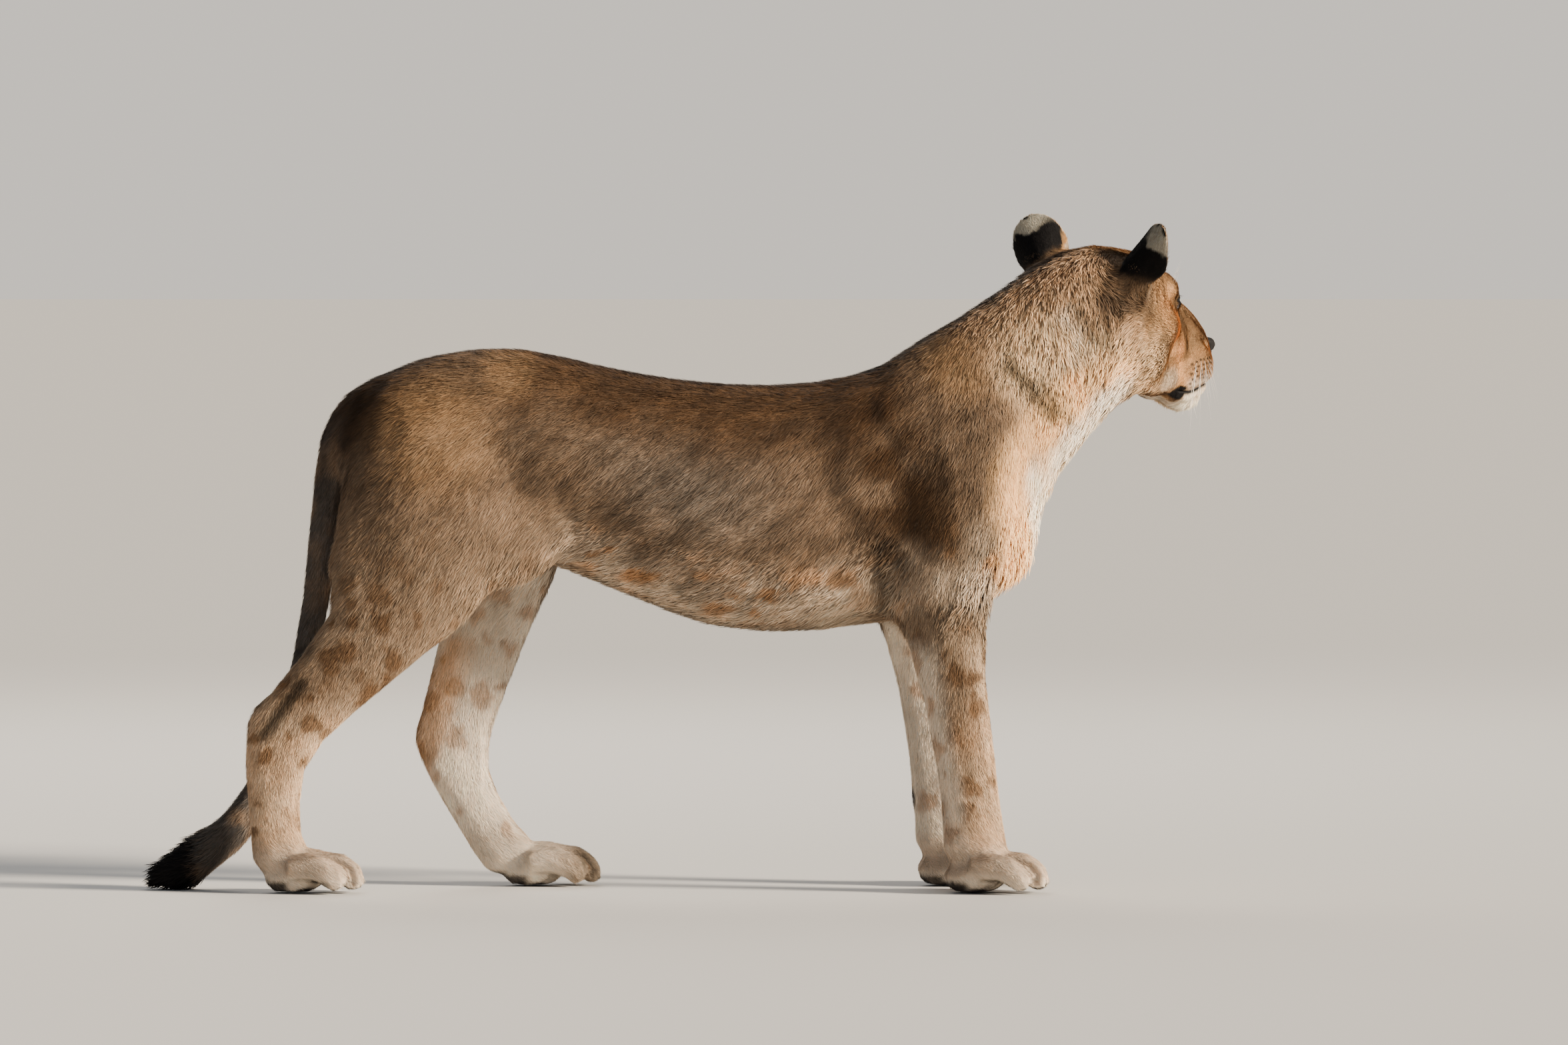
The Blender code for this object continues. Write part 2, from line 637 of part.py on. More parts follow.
def holds(mesh, place):
    """Whether a place is inside a closed mesh: a ray from it leaves through an odd number of walls."""
    form = bmesh.new()
    form.from_mesh(mesh)
    walls = BVHTree.FromBMesh(form)
    form.free()
    upwards = Vector((0.02, 0.03, 1))
    crossings = 0
    hit = walls.ray_cast(Vector(place), upwards)[0]
    while hit is not None:
        crossings += 1
        hit = walls.ray_cast(hit + upwards * 1e-5, upwards)[0]
    return crossings % 2 == 1


def named(shells, names):
    """Objects for the shells, each called after the place inside it."""
    found = {}
    for mesh in shells:
        inside = [name for name in names if holds(mesh, PIECES[name][0])]
        if len(inside) != 1:
            raise ValueError(f"a shell of {len(mesh.polygons)} faces holds {inside}")
        mesh.name = inside[0]
        found[inside[0]] = bpy.data.objects.new(inside[0], mesh)
        bpy.context.scene.collection.objects.link(found[inside[0]])
    return found


def parted(obj, slabs, names):
    """The object cut by the slabs, as one object per piece."""
    cut(obj, slabs)
    shells = loose_parts(obj)
    bpy.data.objects.remove(obj)
    return named(shells, names)


# ---------------------------------------------------------------- the body's pieces
def fore_cuts():
    """Slabs and names that take the shoulders, forearms and paws off the chest."""
    slabs, names = [], ["chest"]
    for side, word in ((LEFT, "left"), (RIGHT, "right")):
        pose = FORE_LEGS[side]
        elbow, carpus = pose["elbow"], pose["carpus"]
        outward = Vector((0, side, -0.1)).normalized()
        blade = Vector((0.400, side * 0.078, 0.650))
        rear = blade + Vector((-0.155, 0, 0)) + outward * 0.09
        slabs += [
            slab("cut_blade_" + word, blade, outward, (0.248, 0.155), (1, 0, 0)),
            slab("cut_armpit_" + word, rear, (1, 0, 0), (0.248, 0.09 + CUT), outward),
            slab("cut_elbow_" + word, (elbow.x + 0.02, elbow.y, 0.402), (0, 0, 1), (0.11, 0.07)),
            slab("cut_wrist_" + word, carpus - Vector((0, 0, 0.055)), (0.1, 0, 1), (0.10, 0.07)),
        ]
        names += [part + word for part in ("shoulder_", "forearm_", "forepaw_")]
    return slabs, names


def hind_cuts():
    """Slabs and names that take the thighs, shanks, feet and paws off the rump."""
    slabs, names = [], ["rump"]
    for side, word in ((LEFT, "left"), (RIGHT, "right")):
        pose = HIND_LEGS[side]
        knee = pose["stifle"].lerp(pose["hock"], 0.22)
        shank = (pose["hock"] - pose["stifle"]).normalized()
        foot = (pose["knuckle"] - pose["hock"]).normalized()
        ankle = pose["knuckle"].lerp(pose["hock"], 0.22)
        hip = Vector((HIP.x, side * 0.066, 0.643))
        slabs += [
            slab("cut_hip_" + word, hip, (0, side * 0.9, -0.43), (0.20, 0.20), (1, 0, 0)),
            slab("cut_knee_" + word, knee, shank * 0.4 - Vector((0, 0, 1)), (0.19, 0.075)),
            slab("cut_hock_" + word, pose["hock"], shank + foot, (0.10, 0.06)),
            slab("cut_ankle_" + word, ankle, foot - Vector((0, 0, 1)), (0.09, 0.06)),
        ]
        names += [part + word for part in ("thigh_", "shank_", "hind_foot_", "hind_paw_")]
    return slabs, names


def part_body(body):
    """Parts the body: first along the spine, then each part that carries limbs."""
    spine = [
        head_slab("cut_nape", (-0.150, 0, 0), (1, 0, 0.15), (0.19, 0.19)),
        slab("cut_neck", (0.485, 0, 0.765), (0.852, 0, 0.524), (0.22, 0.22)),
        slab("cut_ribs", (-0.040, 0, 0.62), (1, 0, 0.12), (0.25, 0.25)),
        slab("cut_flank", (-0.215, 0, 0.66), (1, 0, 0), (0.24, 0.24)),
        box("cut_tail_front", (-0.537, 0, 0.560), (0.0025, 0.055, 0.160), turn_about("Y", 7.5)),
        slab("cut_tail_root", (-0.546, 0, 0.722), (0.35, 0, 1), (0.032, 0.06)),
        slab("cut_tail_middle", (-0.572, 0, 0.450), (0.12, 0, 1), (0.03, 0.03)),
        slab("cut_tail_end", (-0.618, 0.002, 0.260), (0.35, 0, 1), (0.035, 0.035)),
        slab("cut_tail_tuft", (-0.742, 0, 0.060), (1, 0, 0.75), (0.05, 0.05)),
    ]
    names = ["head", "neck", "chest", "belly", "rump", "tail_root", "tail_middle", "tail_end", "tail_tuft"]
    pieces = parted(body, spine, names)
    jaw = [
        head_slab("cut_mouth", (MOUTH_CORNER + 0.10, 0, MOUTH_UP), (0, 0, 1), (0.10, 0.09)),
        head_slab("cut_jaw_back", (MOUTH_CORNER, 0, MOUTH_UP - 0.05 + CUT / 2), (1, 0, 0), (0.05, 0.09)),
    ]
    pieces |= parted(pieces["head"], jaw, ["head", "lower_jaw"])
    pieces |= parted(pieces["chest"], *fore_cuts())
    pieces |= parted(pieces["rump"], *hind_cuts())
    return pieces


# ---------------------------------------------------------------- ears, eyes and nose
def ear(name, side):
    """A cupped round shell that opens forwards; its lower half lies in the head."""
    form = bmesh.new()
    bmesh.ops.create_grid(form, x_segments=8, y_segments=8, size=1)
    for vert in form.verts:
        across, up = vert.co.x, vert.co.y
        wide = across * math.sqrt(1 - up * up / 2)
        high = up * math.sqrt(1 - across * across / 2)
        depth = -EAR_CUP * (1 - wide * wide) * (0.56 - 0.50 * high)
        taper = 1 - 0.22 * max(0.0, -high) ** 1.5
        vert.co = (depth, wide * taper * EAR_HALF_WIDTH, high * EAR_HALF_HEIGHT)
    obj = linked(name, form)
    thick = obj.modifiers.new("Thick", "SOLIDIFY")
    thick.thickness, thick.offset, thick.use_even_offset = EAR_THICKNESS, 0, True
    soft = obj.modifiers.new("Soft", "SMOOTH")
    soft.factor, soft.iterations = 0.5, 2
    applied(obj)
    middle = Vector((EAR_MIDDLE.x, side * EAR_MIDDLE.y, EAR_MIDDLE.z))
    lean, facing = turn_about("X", -side * EAR_LEAN), turn_about("Z", side * EAR_FACING)
    pose = lean @ facing @ turn_about("Y", EAR_PITCH)
    obj.data.transform(HEAD_FRAME @ Matrix.Translation(middle) @ pose)
    return obj


def eyeball(name, side, body):
    """A ball set in the head where its line of sight leaves the face."""
    facing = math.radians(EYE_FACING)
    sight = HEAD_FRAME.to_3x3() @ Vector((math.cos(facing), side * math.sin(facing), 0))
    point = HEAD_FRAME @ Vector((EYE_SIGHT.x, side * EYE_SIGHT.y, EYE_SIGHT.z))
    hit, place = body.ray_cast(point + sight * 0.08, -sight)[:2]
    if not hit:
        raise ValueError("the line of sight misses the face")
    turn = sight.to_track_quat("Z", "Y").to_matrix().to_4x4()
    return ellipsoid(name, place - sight * EYE_SET, (EYE_RADIUS,) * 3, turn, 14)


def seated_pieces(body):
    """Ears and nose trimmed to the head's surface, and eyes with sockets cut round them."""
    swollen = cutter(bpy.data.objects.new("head_clearance", body.data.copy()))
    pieces = {}
    grown = swollen.modifiers.new("Grown", "DISPLACE")
    grown.strength, grown.mid_level = CLEARANCE, 0
    applied(swollen)
    for side, word in ((LEFT, "left"), (RIGHT, "right")):
        pieces["ear_" + word] = cut(ear("ear_" + word, side), [swollen])
        eye = pieces["eye_" + word] = eyeball("eye_" + word, side, body)
        place = Vector(points_of(eye).mean(0))
        cut(body, [cutter(ellipsoid("socket_" + word, place, (SOCKET_RADIUS,) * 3, segments=14))])
    nose = ellipsoid("nose", NOSE, NOSE_RADII, segments=16)
    nose.data.transform(HEAD_FRAME)
    pieces["nose"] = cut(nose, [swollen])
    return pieces


# ---------------------------------------------------------------- the finished part
def finish(pieces):
    """Names and surfaces; every visible piece goes in one collection, centred over the origin."""
    corners = np.array([corner for obj in pieces.values() for corner in obj.bound_box])
    middle = (corners.min(0) + corners.max(0)) / 2
    holder = bpy.data.collections.new("lioness")
    bpy.context.scene.collection.children.link(holder)
    surfaces = {name: kind for name, (place, kind) in PIECES.items()}
    surfaces |= {"nose": "nose", "eye_left": "eye", "eye_right": "eye"}
    surfaces |= {"ear_left": "dark_coat", "ear_right": "dark_coat"}
    for name, obj in pieces.items():
        obj.name = obj.data.name = name
        obj.data.transform(Matrix.Translation((-middle[0], -middle[1], 0)))
        for home in list(obj.users_collection):
            home.objects.unlink(obj)
        holder.objects.link(obj)
        obj.vertex_groups.clear()
        material = bpy.data.materials.new(name)
        material.use_nodes = True
        shader = material.node_tree.nodes["Principled BSDF"]
        colour, roughness = SURFACES[surfaces[name]]
        shader.inputs["Base Color"].default_value = (*colour, 1)
        shader.inputs["Roughness"].default_value = roughness
        shader.inputs["Metallic"].default_value = 0
        obj.data.materials.clear()
        obj.data.materials.append(material)


def main():
    """Builds the lioness."""
    for obj in list(bpy.data.objects):
        bpy.data.objects.remove(obj)
    body = thinned(fused_body())
    cut(body, [box("ground", (0, 0, -GROUND_BOX[2]), GROUND_BOX)])
    finish(seated_pieces(body) | part_body(body))


if __name__ == "__main__":
    main()
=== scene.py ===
"""The lioness's looks: one skin over the frame's flesh, a coat of bent tufts, and the bare pieces.

Lengths are metres, +X is the way the body faces, +Y her left, +Z up.  Places on the body are given
from the midline: x, y from the spine's plane and z from the ground.  Places on the head are given in
the head's own axes, forward, left and up, from the point between her eyes.
"""

from __future__ import annotations

import json
import logging
import math
from dataclasses import dataclass, field
from enum import Enum

import bmesh
import bpy
import numpy as np
from mathutils import Matrix, Vector
from mathutils.bvhtree import BVHTree

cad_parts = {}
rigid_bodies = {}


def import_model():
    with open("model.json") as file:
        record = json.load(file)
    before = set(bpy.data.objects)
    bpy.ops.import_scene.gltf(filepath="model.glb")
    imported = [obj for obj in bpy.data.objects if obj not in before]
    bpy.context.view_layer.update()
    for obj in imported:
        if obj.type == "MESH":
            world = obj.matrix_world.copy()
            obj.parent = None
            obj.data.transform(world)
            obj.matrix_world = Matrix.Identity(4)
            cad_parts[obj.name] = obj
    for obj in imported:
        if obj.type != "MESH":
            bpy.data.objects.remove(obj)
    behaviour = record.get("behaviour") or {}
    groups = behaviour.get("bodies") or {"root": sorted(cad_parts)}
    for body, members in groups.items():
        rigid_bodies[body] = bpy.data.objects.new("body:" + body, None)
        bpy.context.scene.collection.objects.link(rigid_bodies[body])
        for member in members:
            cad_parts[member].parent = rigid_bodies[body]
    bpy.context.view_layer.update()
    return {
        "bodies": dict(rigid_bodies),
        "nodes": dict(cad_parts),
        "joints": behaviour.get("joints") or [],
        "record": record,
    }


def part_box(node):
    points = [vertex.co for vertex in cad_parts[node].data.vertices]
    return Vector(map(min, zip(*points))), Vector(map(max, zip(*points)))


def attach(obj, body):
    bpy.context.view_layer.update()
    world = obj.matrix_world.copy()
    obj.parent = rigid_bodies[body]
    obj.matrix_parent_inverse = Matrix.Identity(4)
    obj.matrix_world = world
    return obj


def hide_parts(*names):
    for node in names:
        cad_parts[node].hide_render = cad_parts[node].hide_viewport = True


Array = np.ndarray
Material = bpy.types.Material
Object = bpy.types.Object
Colour = tuple[float, float, float]
Place = tuple[float, float, float]
log = logging.getLogger("lioness")


# ---- sums on arrays of points
def unit(vectors: Array) -> Array:
    """Vectors divided by their lengths."""
    return vectors / np.maximum(np.linalg.norm(vectors, axis=-1, keepdims=True), 1e-12)


def fade(values: Array, start: float, end: float) -> Array:
    """Share that runs smoothly from 0 at start to 1 at end: 3t^2 - 2t^3 of the clipped share t."""
    share = np.clip((values - start) / (end - start), 0, 1)
    return share * share * (3 - 2 * share)


def bump(values: Array, middle: float, reach: float) -> Array:
    """1 at the middle, falling to 0 a reach away on either side."""
    return fade(np.abs(values - middle), reach, 0)


def blend(first: Array, second: Array, share: Array) -> Array:
    """Mix of two colours or vectors, by a share of the second for each point."""
    return first + (np.asarray(second) - first) * share[:, None]


def mirrored(head: Array) -> Array:
    """Head places, all brought to her left side."""
    return np.stack([head[:, 0], np.abs(head[:, 1]), head[:, 2]], 1)


def to_segment(points: Array, start: tuple, end: tuple) -> Array:
    """Distance of each point from the straight line between two places, in as many axes as these have.

    Args:
        points: places, one row each.
        start: where the line starts.
        end: where it ends.

    Returns:
        The distances.
    """
    first, along = np.array(start, float), np.subtract(end, start)
    share = np.clip((points - first) @ along / (along @ along), 0, 1)
    return np.linalg.norm(points - first - share[:, None] * along, axis=1)


def strip(points: Array, start: tuple, end: tuple, outer: float, inner: float) -> Array:
    """1 within an inner distance of the straight line between two places, and 0 beyond an outer one."""
    return fade(to_segment(points, start, end), outer, inner)


def hashed(cells: Array, seed: int) -> Array:
    """A share from 0 to 1 for each whole-number cell: products of its axes with primes, folded together.

    Args:
        cells: whole numbers, three to a cell.
        seed: picks the pattern.

    Returns:
        One share for each cell.
    """
    x, y, z = (cells[..., axis].astype(np.int64) for axis in range(3))
    mixed = (x * 73856093) ^ (y * 19349663) ^ (z * 83492791) ^ (seed * 2654435761)
    mixed = (mixed ^ (mixed >> 13)) * 1274126177
    return ((mixed ^ (mixed >> 16)) & 0xFFFF) / 0xFFFF


def noise(points: Array, size: float, seed: int) -> Array:
    """Smooth noise from -1 to 1: hashed values on a lattice of this size, blended along each axis.

    Args:
        points: places, one row each.
        size: of a cell of the lattice.
        seed: picks the pattern.

    Returns:
        One value for each point.
    """
    grid = points / size
    cell = np.floor(grid)
    share = grid - cell
    share = share * share * (3 - 2 * share)
    total = np.zeros(len(points))
    for corner in np.ndindex(2, 2, 2):
        weight = np.prod(np.where(corner, share, 1 - share), axis=1)
        total += weight * hashed(cell + corner, seed)
    return total * 2 - 1


def spots(points: Array, size: float, seed: int, radius: float) -> Array:
    """1 in irregular spots and 0 between them: nearness to one hashed centre in each cell.

    Args:
        points: places, one row each.
        size: of a cell.
        seed: picks the pattern.
        radius: of a spot, as a share of its cell.

    Returns:
        One share for each point.
    """
    ragged = points + size * 0.22 * np.stack([noise(points, size * 0.35, seed + k) for k in range(3)], 1)
    grid = ragged / size
    cell = np.floor(grid)
    nearest = np.full(len(points), 9.0)
    for step in np.ndindex(3, 3, 3):
        other = cell + step - 1
        centre = other + np.stack([hashed(other, seed + k) for k in (3, 4, 5)], -1)
        reach = radius * (0.45 + 0.85 * hashed(other, seed + 6))
        nearest = np.minimum(nearest, np.linalg.norm(grid - centre, axis=1) / reach)
    return fade(nearest, 1.2, 0.65)


# ---- shader sums
class Num:
    """A shader value that takes part in Python sums; each sum adds a Math node."""

    def __init__(self, graph: Graph, socket: bpy.types.NodeSocket) -> None:
        """Wraps an output socket of a graph."""
        self.graph, self.socket = graph, socket

    def _sum(self, operation: str, first: object, second: object) -> Num:
        """Adds a Math node.

        Args:
            operation: the Math node's operation.
            first: a number or a Num.
            second: a number or a Num.

        Returns:
            The node's value.
        """
        return self.graph.node("ShaderNodeMath", {"operation": operation}, {0: first, 1: second})

    def __add__(self, other: object) -> Num:
        """self + other."""
        return self._sum("ADD", self, other)

    __radd__ = __add__

    def __mul__(self, other: object) -> Num:
        """self * other."""
        return self._sum("MULTIPLY", self, other)

    __rmul__ = __mul__

    def __sub__(self, other: object) -> Num:
        """self - other."""
        return self._sum("SUBTRACT", self, other)

    def __rsub__(self, other: object) -> Num:
        """other - self."""
        return self._sum("SUBTRACT", other, self)


class Graph:
    """The node graph of one material, with its Principled shader."""

    def __init__(self, name: str) -> None:
        """Makes the material and finds its shader."""
        self.material = bpy.data.materials.new(name)
        self.material.use_nodes = True
        self.nodes = self.material.node_tree.nodes
        self.shader = self.nodes["Principled BSDF"]

    def node(self, kind: str, settings: dict, values: dict, output: int | str = 0) -> Num:
        """Adds a node.

        Args:
            kind: the node's type.
            settings: its properties; a ramp's stops are under "stops".
            values: a number, colour or Num for each input socket.
            output: which output is returned.

        Returns:
            The output's value.
        """
        made = self.nodes.new(kind)
        for key, value in settings.items():
            if key == "stops":
                self._stops(made.color_ramp, value)
            else:
                setattr(made, key, value)
        for key, value in values.items():
            self.feed(made.inputs[key], value)
        return Num(self, made.outputs[output])

    def feed(self, socket: bpy.types.NodeSocket, value: object) -> None:
        """Links a Num to a socket, or sets the socket's value.

        Args:
            socket: one of a node's inputs.
            value: a number, colour or Num.
        """
        if isinstance(value, Num):
            self.material.node_tree.links.new(value.socket, socket)
        else:
            socket.default_value = value

    @staticmethod
    def _stops(ramp: bpy.types.ColorRamp, stops: tuple) -> None:
        """Gives a colour ramp its stops, each a place and a colour.

        Args:
            ramp: the node's ramp.
            stops: from low to high.
        """
        while len(ramp.elements) < len(stops):
            ramp.elements.new(0.5)
        for element, (place, colour) in zip(ramp.elements, stops):
            element.position = place
            element.color = (*colour, 1)

    def grain(self, size: float, detail: float = 2.0, roughness: float = 0.5) -> Num:
        """Noise from 0 to 1 on Object coordinates, with cells of about this size."""
        place = self.node("ShaderNodeTexCoord", {}, {}, "Object")
        values = {"Vector": place, "Scale": 1 / size, "Detail": detail, "Roughness": roughness}
        return self.node("ShaderNodeTexNoise", {}, values, 0)

    def attribute(self, name: str) -> Num:
        """A named colour attribute of the piece."""
        return self.node("ShaderNodeAttribute", {"attribute_name": name}, {}, "Color")

    def relief(self, height: Num, depth: float) -> None:
        """Bumps the surface by a height, whose whole range stands this high."""
        values = {"Height": height, "Distance": depth, "Strength": 1.0}
        self.feed(self.shader.inputs["Normal"], self.node("ShaderNodeBump", {}, values, "Normal"))

    def set(self, **values: object) -> None:
        """Feeds the shader's sockets, named with underscores for spaces."""
        for key, value in values.items():
            self.feed(self.shader.inputs[key.replace("_", " ")], value)


@dataclass(frozen=True)
class HairFinish:
    """Fur: the marking colour that each point carries, with a soft sheen along the edges."""

    name: str
    roughness: float = 0.72
    sheen: float = 0.03
    specular: float = 0.12

    def material(self) -> Material:
        """Builds the material.

        Returns:
            The material.
        """
        graph = Graph(self.name)
        graph.set(Base_Color=graph.attribute("tint"), Roughness=self.roughness)
        graph.set(Sheen_Weight=self.sheen, Sheen_Roughness=0.45, Specular_IOR_Level=self.specular)
        return graph.material


@dataclass(frozen=True)
class SkinFinish:
    """The hide under the coat: the markings, broken by short fine hair that shows as relief."""

    name: str = "hide"
    hair: float = 0.0011
    relief: float = 0.0007

    def material(self) -> Material:
        """Builds the material.

        Returns:
            The material.
        """
        graph = Graph(self.name)
        fine = graph.grain(self.hair, 3.0, 0.6)
        shade = graph.node("ShaderNodeMix", {"data_type": "RGBA", "blend_type": "MULTIPLY"},
                           {"Factor": 0.35, 6: graph.attribute("tint"), 7: fine}, 2)
        graph.set(Base_Color=shade, Roughness=0.7, Specular_IOR_Level=0.2)
        graph.relief(fine, self.relief)
        return graph.material


@dataclass(frozen=True)
class LeatherFinish:
    """Bare moist skin of the nose, lips and pads: fine pebbles in a dark colour."""

    name: str
    colour: Colour
    pebble: float = 0.0016
    relief: float = 0.0004
    roughness: float = 0.38
    specular: float = 0.14

    def material(self) -> Material:
        """Builds the material.

        Returns:
            The material.
        """
        graph = Graph(self.name)
        place = graph.node("ShaderNodeTexCoord", {}, {}, "Object")
        pebbles = graph.node("ShaderNodeTexVoronoi", {}, {"Vector": place, "Scale": 1 / self.pebble}, 0)
        paler = tuple(min(1.0, part * 1.8 + 0.003) for part in self.colour)
        tone = graph.node("ShaderNodeValToRGB", {"stops": ((0.2, paler), (0.75, self.colour))}, {0: pebbles})
        graph.set(Base_Color=tone, Specular_IOR_Level=self.specular)
        graph.set(Roughness=self.roughness + 0.25 * graph.grain(0.006))
        graph.relief(1 - pebbles, self.relief)
        return graph.material


@dataclass(frozen=True)
class EyeFinish:
    """An amber iris round a black pupil, under a wet clear coat; its UV map holds (turn, angle)."""

    name: str = "eye_wet"
    pupil: Colour = (0.002, 0.002, 0.002)
    iris_inner: Colour = (0.46, 0.27, 0.07)
    iris_outer: Colour = (0.25, 0.115, 0.025)
    rim: Colour = (0.020, 0.010, 0.006)
    white: Colour = (0.07, 0.045, 0.032)

    def material(self) -> Material:
        """Builds the material.

        Returns:
            The material.
        """
        graph = Graph(self.name)
        polar = graph.node("ShaderNodeUVMap", {"uv_map": "Polar"}, {})
        turn, angle = (graph.node("ShaderNodeSeparateXYZ", {}, {0: polar}, axis) for axis in (0, 1))
        streak_place = graph.node("ShaderNodeCombineXYZ", {}, {0: turn * 60, 1: angle * 6})
        streaks = graph.node("ShaderNodeTexNoise", {}, {"Vector": streak_place, "Scale": 1.0, "Detail": 3.0})
        stops = (
            (0.000, self.pupil),
            (0.062, self.pupil),
            (0.074, self.iris_inner),
            (0.190, self.iris_outer),
            (0.216, self.rim),
            (0.240, self.white),
            (0.360, self.rim),
        )
        ring = graph.node("ShaderNodeValToRGB", {"stops": stops}, {0: angle + (streaks - 0.5) * 0.012})
        colour = graph.node("ShaderNodeMix", {"data_type": "RGBA", "blend_type": "MULTIPLY"},
                            {"Factor": 0.6, 6: ring, 7: streaks * 1.6}, 2)
        graph.set(Base_Color=colour, Roughness=0.25, Coat_Weight=1.0, Coat_Roughness=0.02)
        return graph.material


# ---- where the frame holds things
class Side(Enum):
    """Her left or right side, as the sign of y."""

    LEFT = 1
    RIGHT = -1

    @property
    def word(self) -> str:
        """The side's name in the frame's nodes."""
        return self.name.lower()


@dataclass
class Anatomy:
    """Turns the frame's places into places on the body and on the head, and back."""

    paw_corner: tuple[float, float] = (0.40236, -0.16161)  # of the right fore paw, from the midline
    head_origin: Place = (0.728, 0.154, 0.918)
    head_yaw: float = 50
    nose_up: float = 6
    head_roll: float = 3.5
    eye_facing: float = 25
    ear_middle: Place = (-0.114, 0.115, 0.086)
    ear_lean: float = 25
    ear_half: tuple[float, float] = (0.046, 0.060)
    shift: Array = field(init=False)
    head_axes: Array = field(init=False)

    def __post_init__(self) -> None:
        """Measures the frame: the midline lies a fixed way from the right fore paw."""
        corner = np.array(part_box("forepaw_right")[0])
        self.shift = np.array([corner[0] - self.paw_corner[0], corner[1] - self.paw_corner[1], 0])
        turns = (("Z", self.head_yaw), ("Y", -self.nose_up), ("X", self.head_roll))
        turn = Matrix.Identity(3)
        for axis, angle in turns:
            turn = turn @ Matrix.Rotation(math.radians(angle), 3, axis)
        self.head_axes = np.array(turn)

    def body(self, points: Array) -> Array:
        """Frame places, given from the midline."""
        return points - self.shift

    def head(self, points: Array) -> Array:
        """Frame places, given in the head's axes."""
        return (points - self.shift - self.head_origin) @ self.head_axes

    def from_head(self, places: Array) -> Array:
        """Head places, given in the frame."""
        return np.asarray(places) @ self.head_axes.T + self.head_origin + self.shift

    def in_ear(self, head: Array) -> tuple[Array, Array]:
        """Places on an ear: up it, from -1 at the foot to 1 at the tip, and -1 to 1 outwards across it.

        Args:
            head: places in the head's axes.

        Returns:
            How far up the ear, and how far across it.
        """
        side = np.where(head[:, 1] < 0, -1.0, 1.0)
        off = np.stack([head[:, 0], head[:, 1] * side, head[:, 2]], 1) - self.ear_middle
        lean = math.radians(self.ear_lean)
        high = off @ (0, math.sin(lean), math.cos(lean))
        across = off @ (0.45, math.cos(lean), -math.sin(lean))
        return high / self.ear_half[1], across / self.ear_half[0]

    def eye(self, side: Side) -> tuple[Array, Array, float]:
        """An eyeball of the frame.

        Args:
            side: which eye.

        Returns:
            Its centre in the head's axes, its line of sight there, and its radius.
        """
        low, high = (np.array(corner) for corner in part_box("eye_" + side.word))
        facing = math.radians(self.eye_facing)
        sight = np.array([math.cos(facing), side.value * math.sin(facing), 0.04])
        return self.head((low + high)[None] / 2)[0], unit(sight), float((high - low).max() / 2)


# ---- meshes as arrays
def piece_from(name: str, points: Array, faces: list[Array], material: Material) -> Object:
    """A smooth-shaded object at the origin.

    Args:
        name: the piece's name.
        points: vertex places, one row each.
        faces: arrays of vertex indices, one array for each number of corners.
        material: the piece's material.

    Returns:
        The linked object.
    """
    mesh = bpy.data.meshes.new(name)
    corners = np.concatenate([block.ravel() for block in faces]).astype(np.int32)
    sizes = np.concatenate([np.full(len(block), block.shape[1], np.int32) for block in faces])
    mesh.vertices.add(len(points))
    mesh.vertices.foreach_set("co", np.ascontiguousarray(points, np.float32).ravel())
    mesh.loops.add(len(corners))
    mesh.loops.foreach_set("vertex_index", corners)
    mesh.polygons.add(len(sizes))
    mesh.polygons.foreach_set("loop_start", np.concatenate([[0], np.cumsum(sizes)[:-1]]).astype(np.int32))
    mesh.update(calc_edges=True)
    mesh.shade_smooth()
    mesh.materials.append(material)
    obj = bpy.data.objects.new(name, mesh)
    bpy.context.scene.collection.objects.link(obj)
    return obj


def give_tint(obj: Object, colours: Array) -> None:
    """Stores each vertex's colour in the attribute that the hair and hide finishes read."""
    tint = obj.data.attributes.new("tint", "FLOAT_COLOR", "POINT")
    alpha = np.ones((len(colours), 1))
    tint.data.foreach_set("color", np.hstack([np.clip(colours, 0, 1), alpha]).astype(np.float32).ravel())


def give_uv(obj: Object, name: str, places: Array) -> None:
    """Stores a UV map, given for each vertex.

    Args:
        obj: the piece.
        name: the map's name.
        places: a pair for each vertex.
    """
    corners = np.empty(len(obj.data.loops), np.int32)
    obj.data.loops.foreach_get("vertex_index", corners)
    layer = obj.data.uv_layers.new(name=name)
    layer.data.foreach_set("uv", places[corners].astype(np.float32).ravel())


def turned_outward(obj: Object) -> Object:
    """The object with its faces turned outwards.

    Args:
        obj: the piece, whose mesh is changed.

    Returns:
        The same object.
    """
    form = bmesh.new()
    form.from_mesh(obj.data)
    bmesh.ops.remove_doubles(form, verts=form.verts, dist=1e-6)
    bmesh.ops.recalc_face_normals(form, faces=form.faces)
    form.to_mesh(obj.data)
    form.free()
    return obj


def grid_faces(rows: int, columns: int, closed: bool) -> Array:
    """Quads between the rows of a grid, which is closed around if its last column meets its first.

    Args:
        rows: how many rows of points.
        columns: how many points in a row.
        closed: whether it is closed around.

    Returns:
        Four indices for each quad.
    """
    last = columns if closed else columns - 1
    row, column = np.meshgrid(np.arange(rows - 1), np.arange(last), indexing="ij")
    here, beside = row * columns + column, row * columns + (column + 1) % columns
    return np.stack([here, beside, beside + columns, here + columns], -1).reshape(-1, 4)


def pole_fans(rows: int, columns: int) -> Array:
    """Triangles from a grid's first and last rows to two poles, which follow the grid's points.

    Args:
        rows: how many rows the grid has.
        columns: how many points in a row.

    Returns:
        Three indices for each triangle.
    """
    here = np.arange(columns)
    beside, start = (here + 1) % columns, (rows - 1) * columns
    front = np.stack([beside, here, np.full_like(here, rows * columns)], 1)
    back = np.stack([start + here, start + beside, np.full_like(here, rows * columns + 1)], 1)
    return np.vstack([front, back])


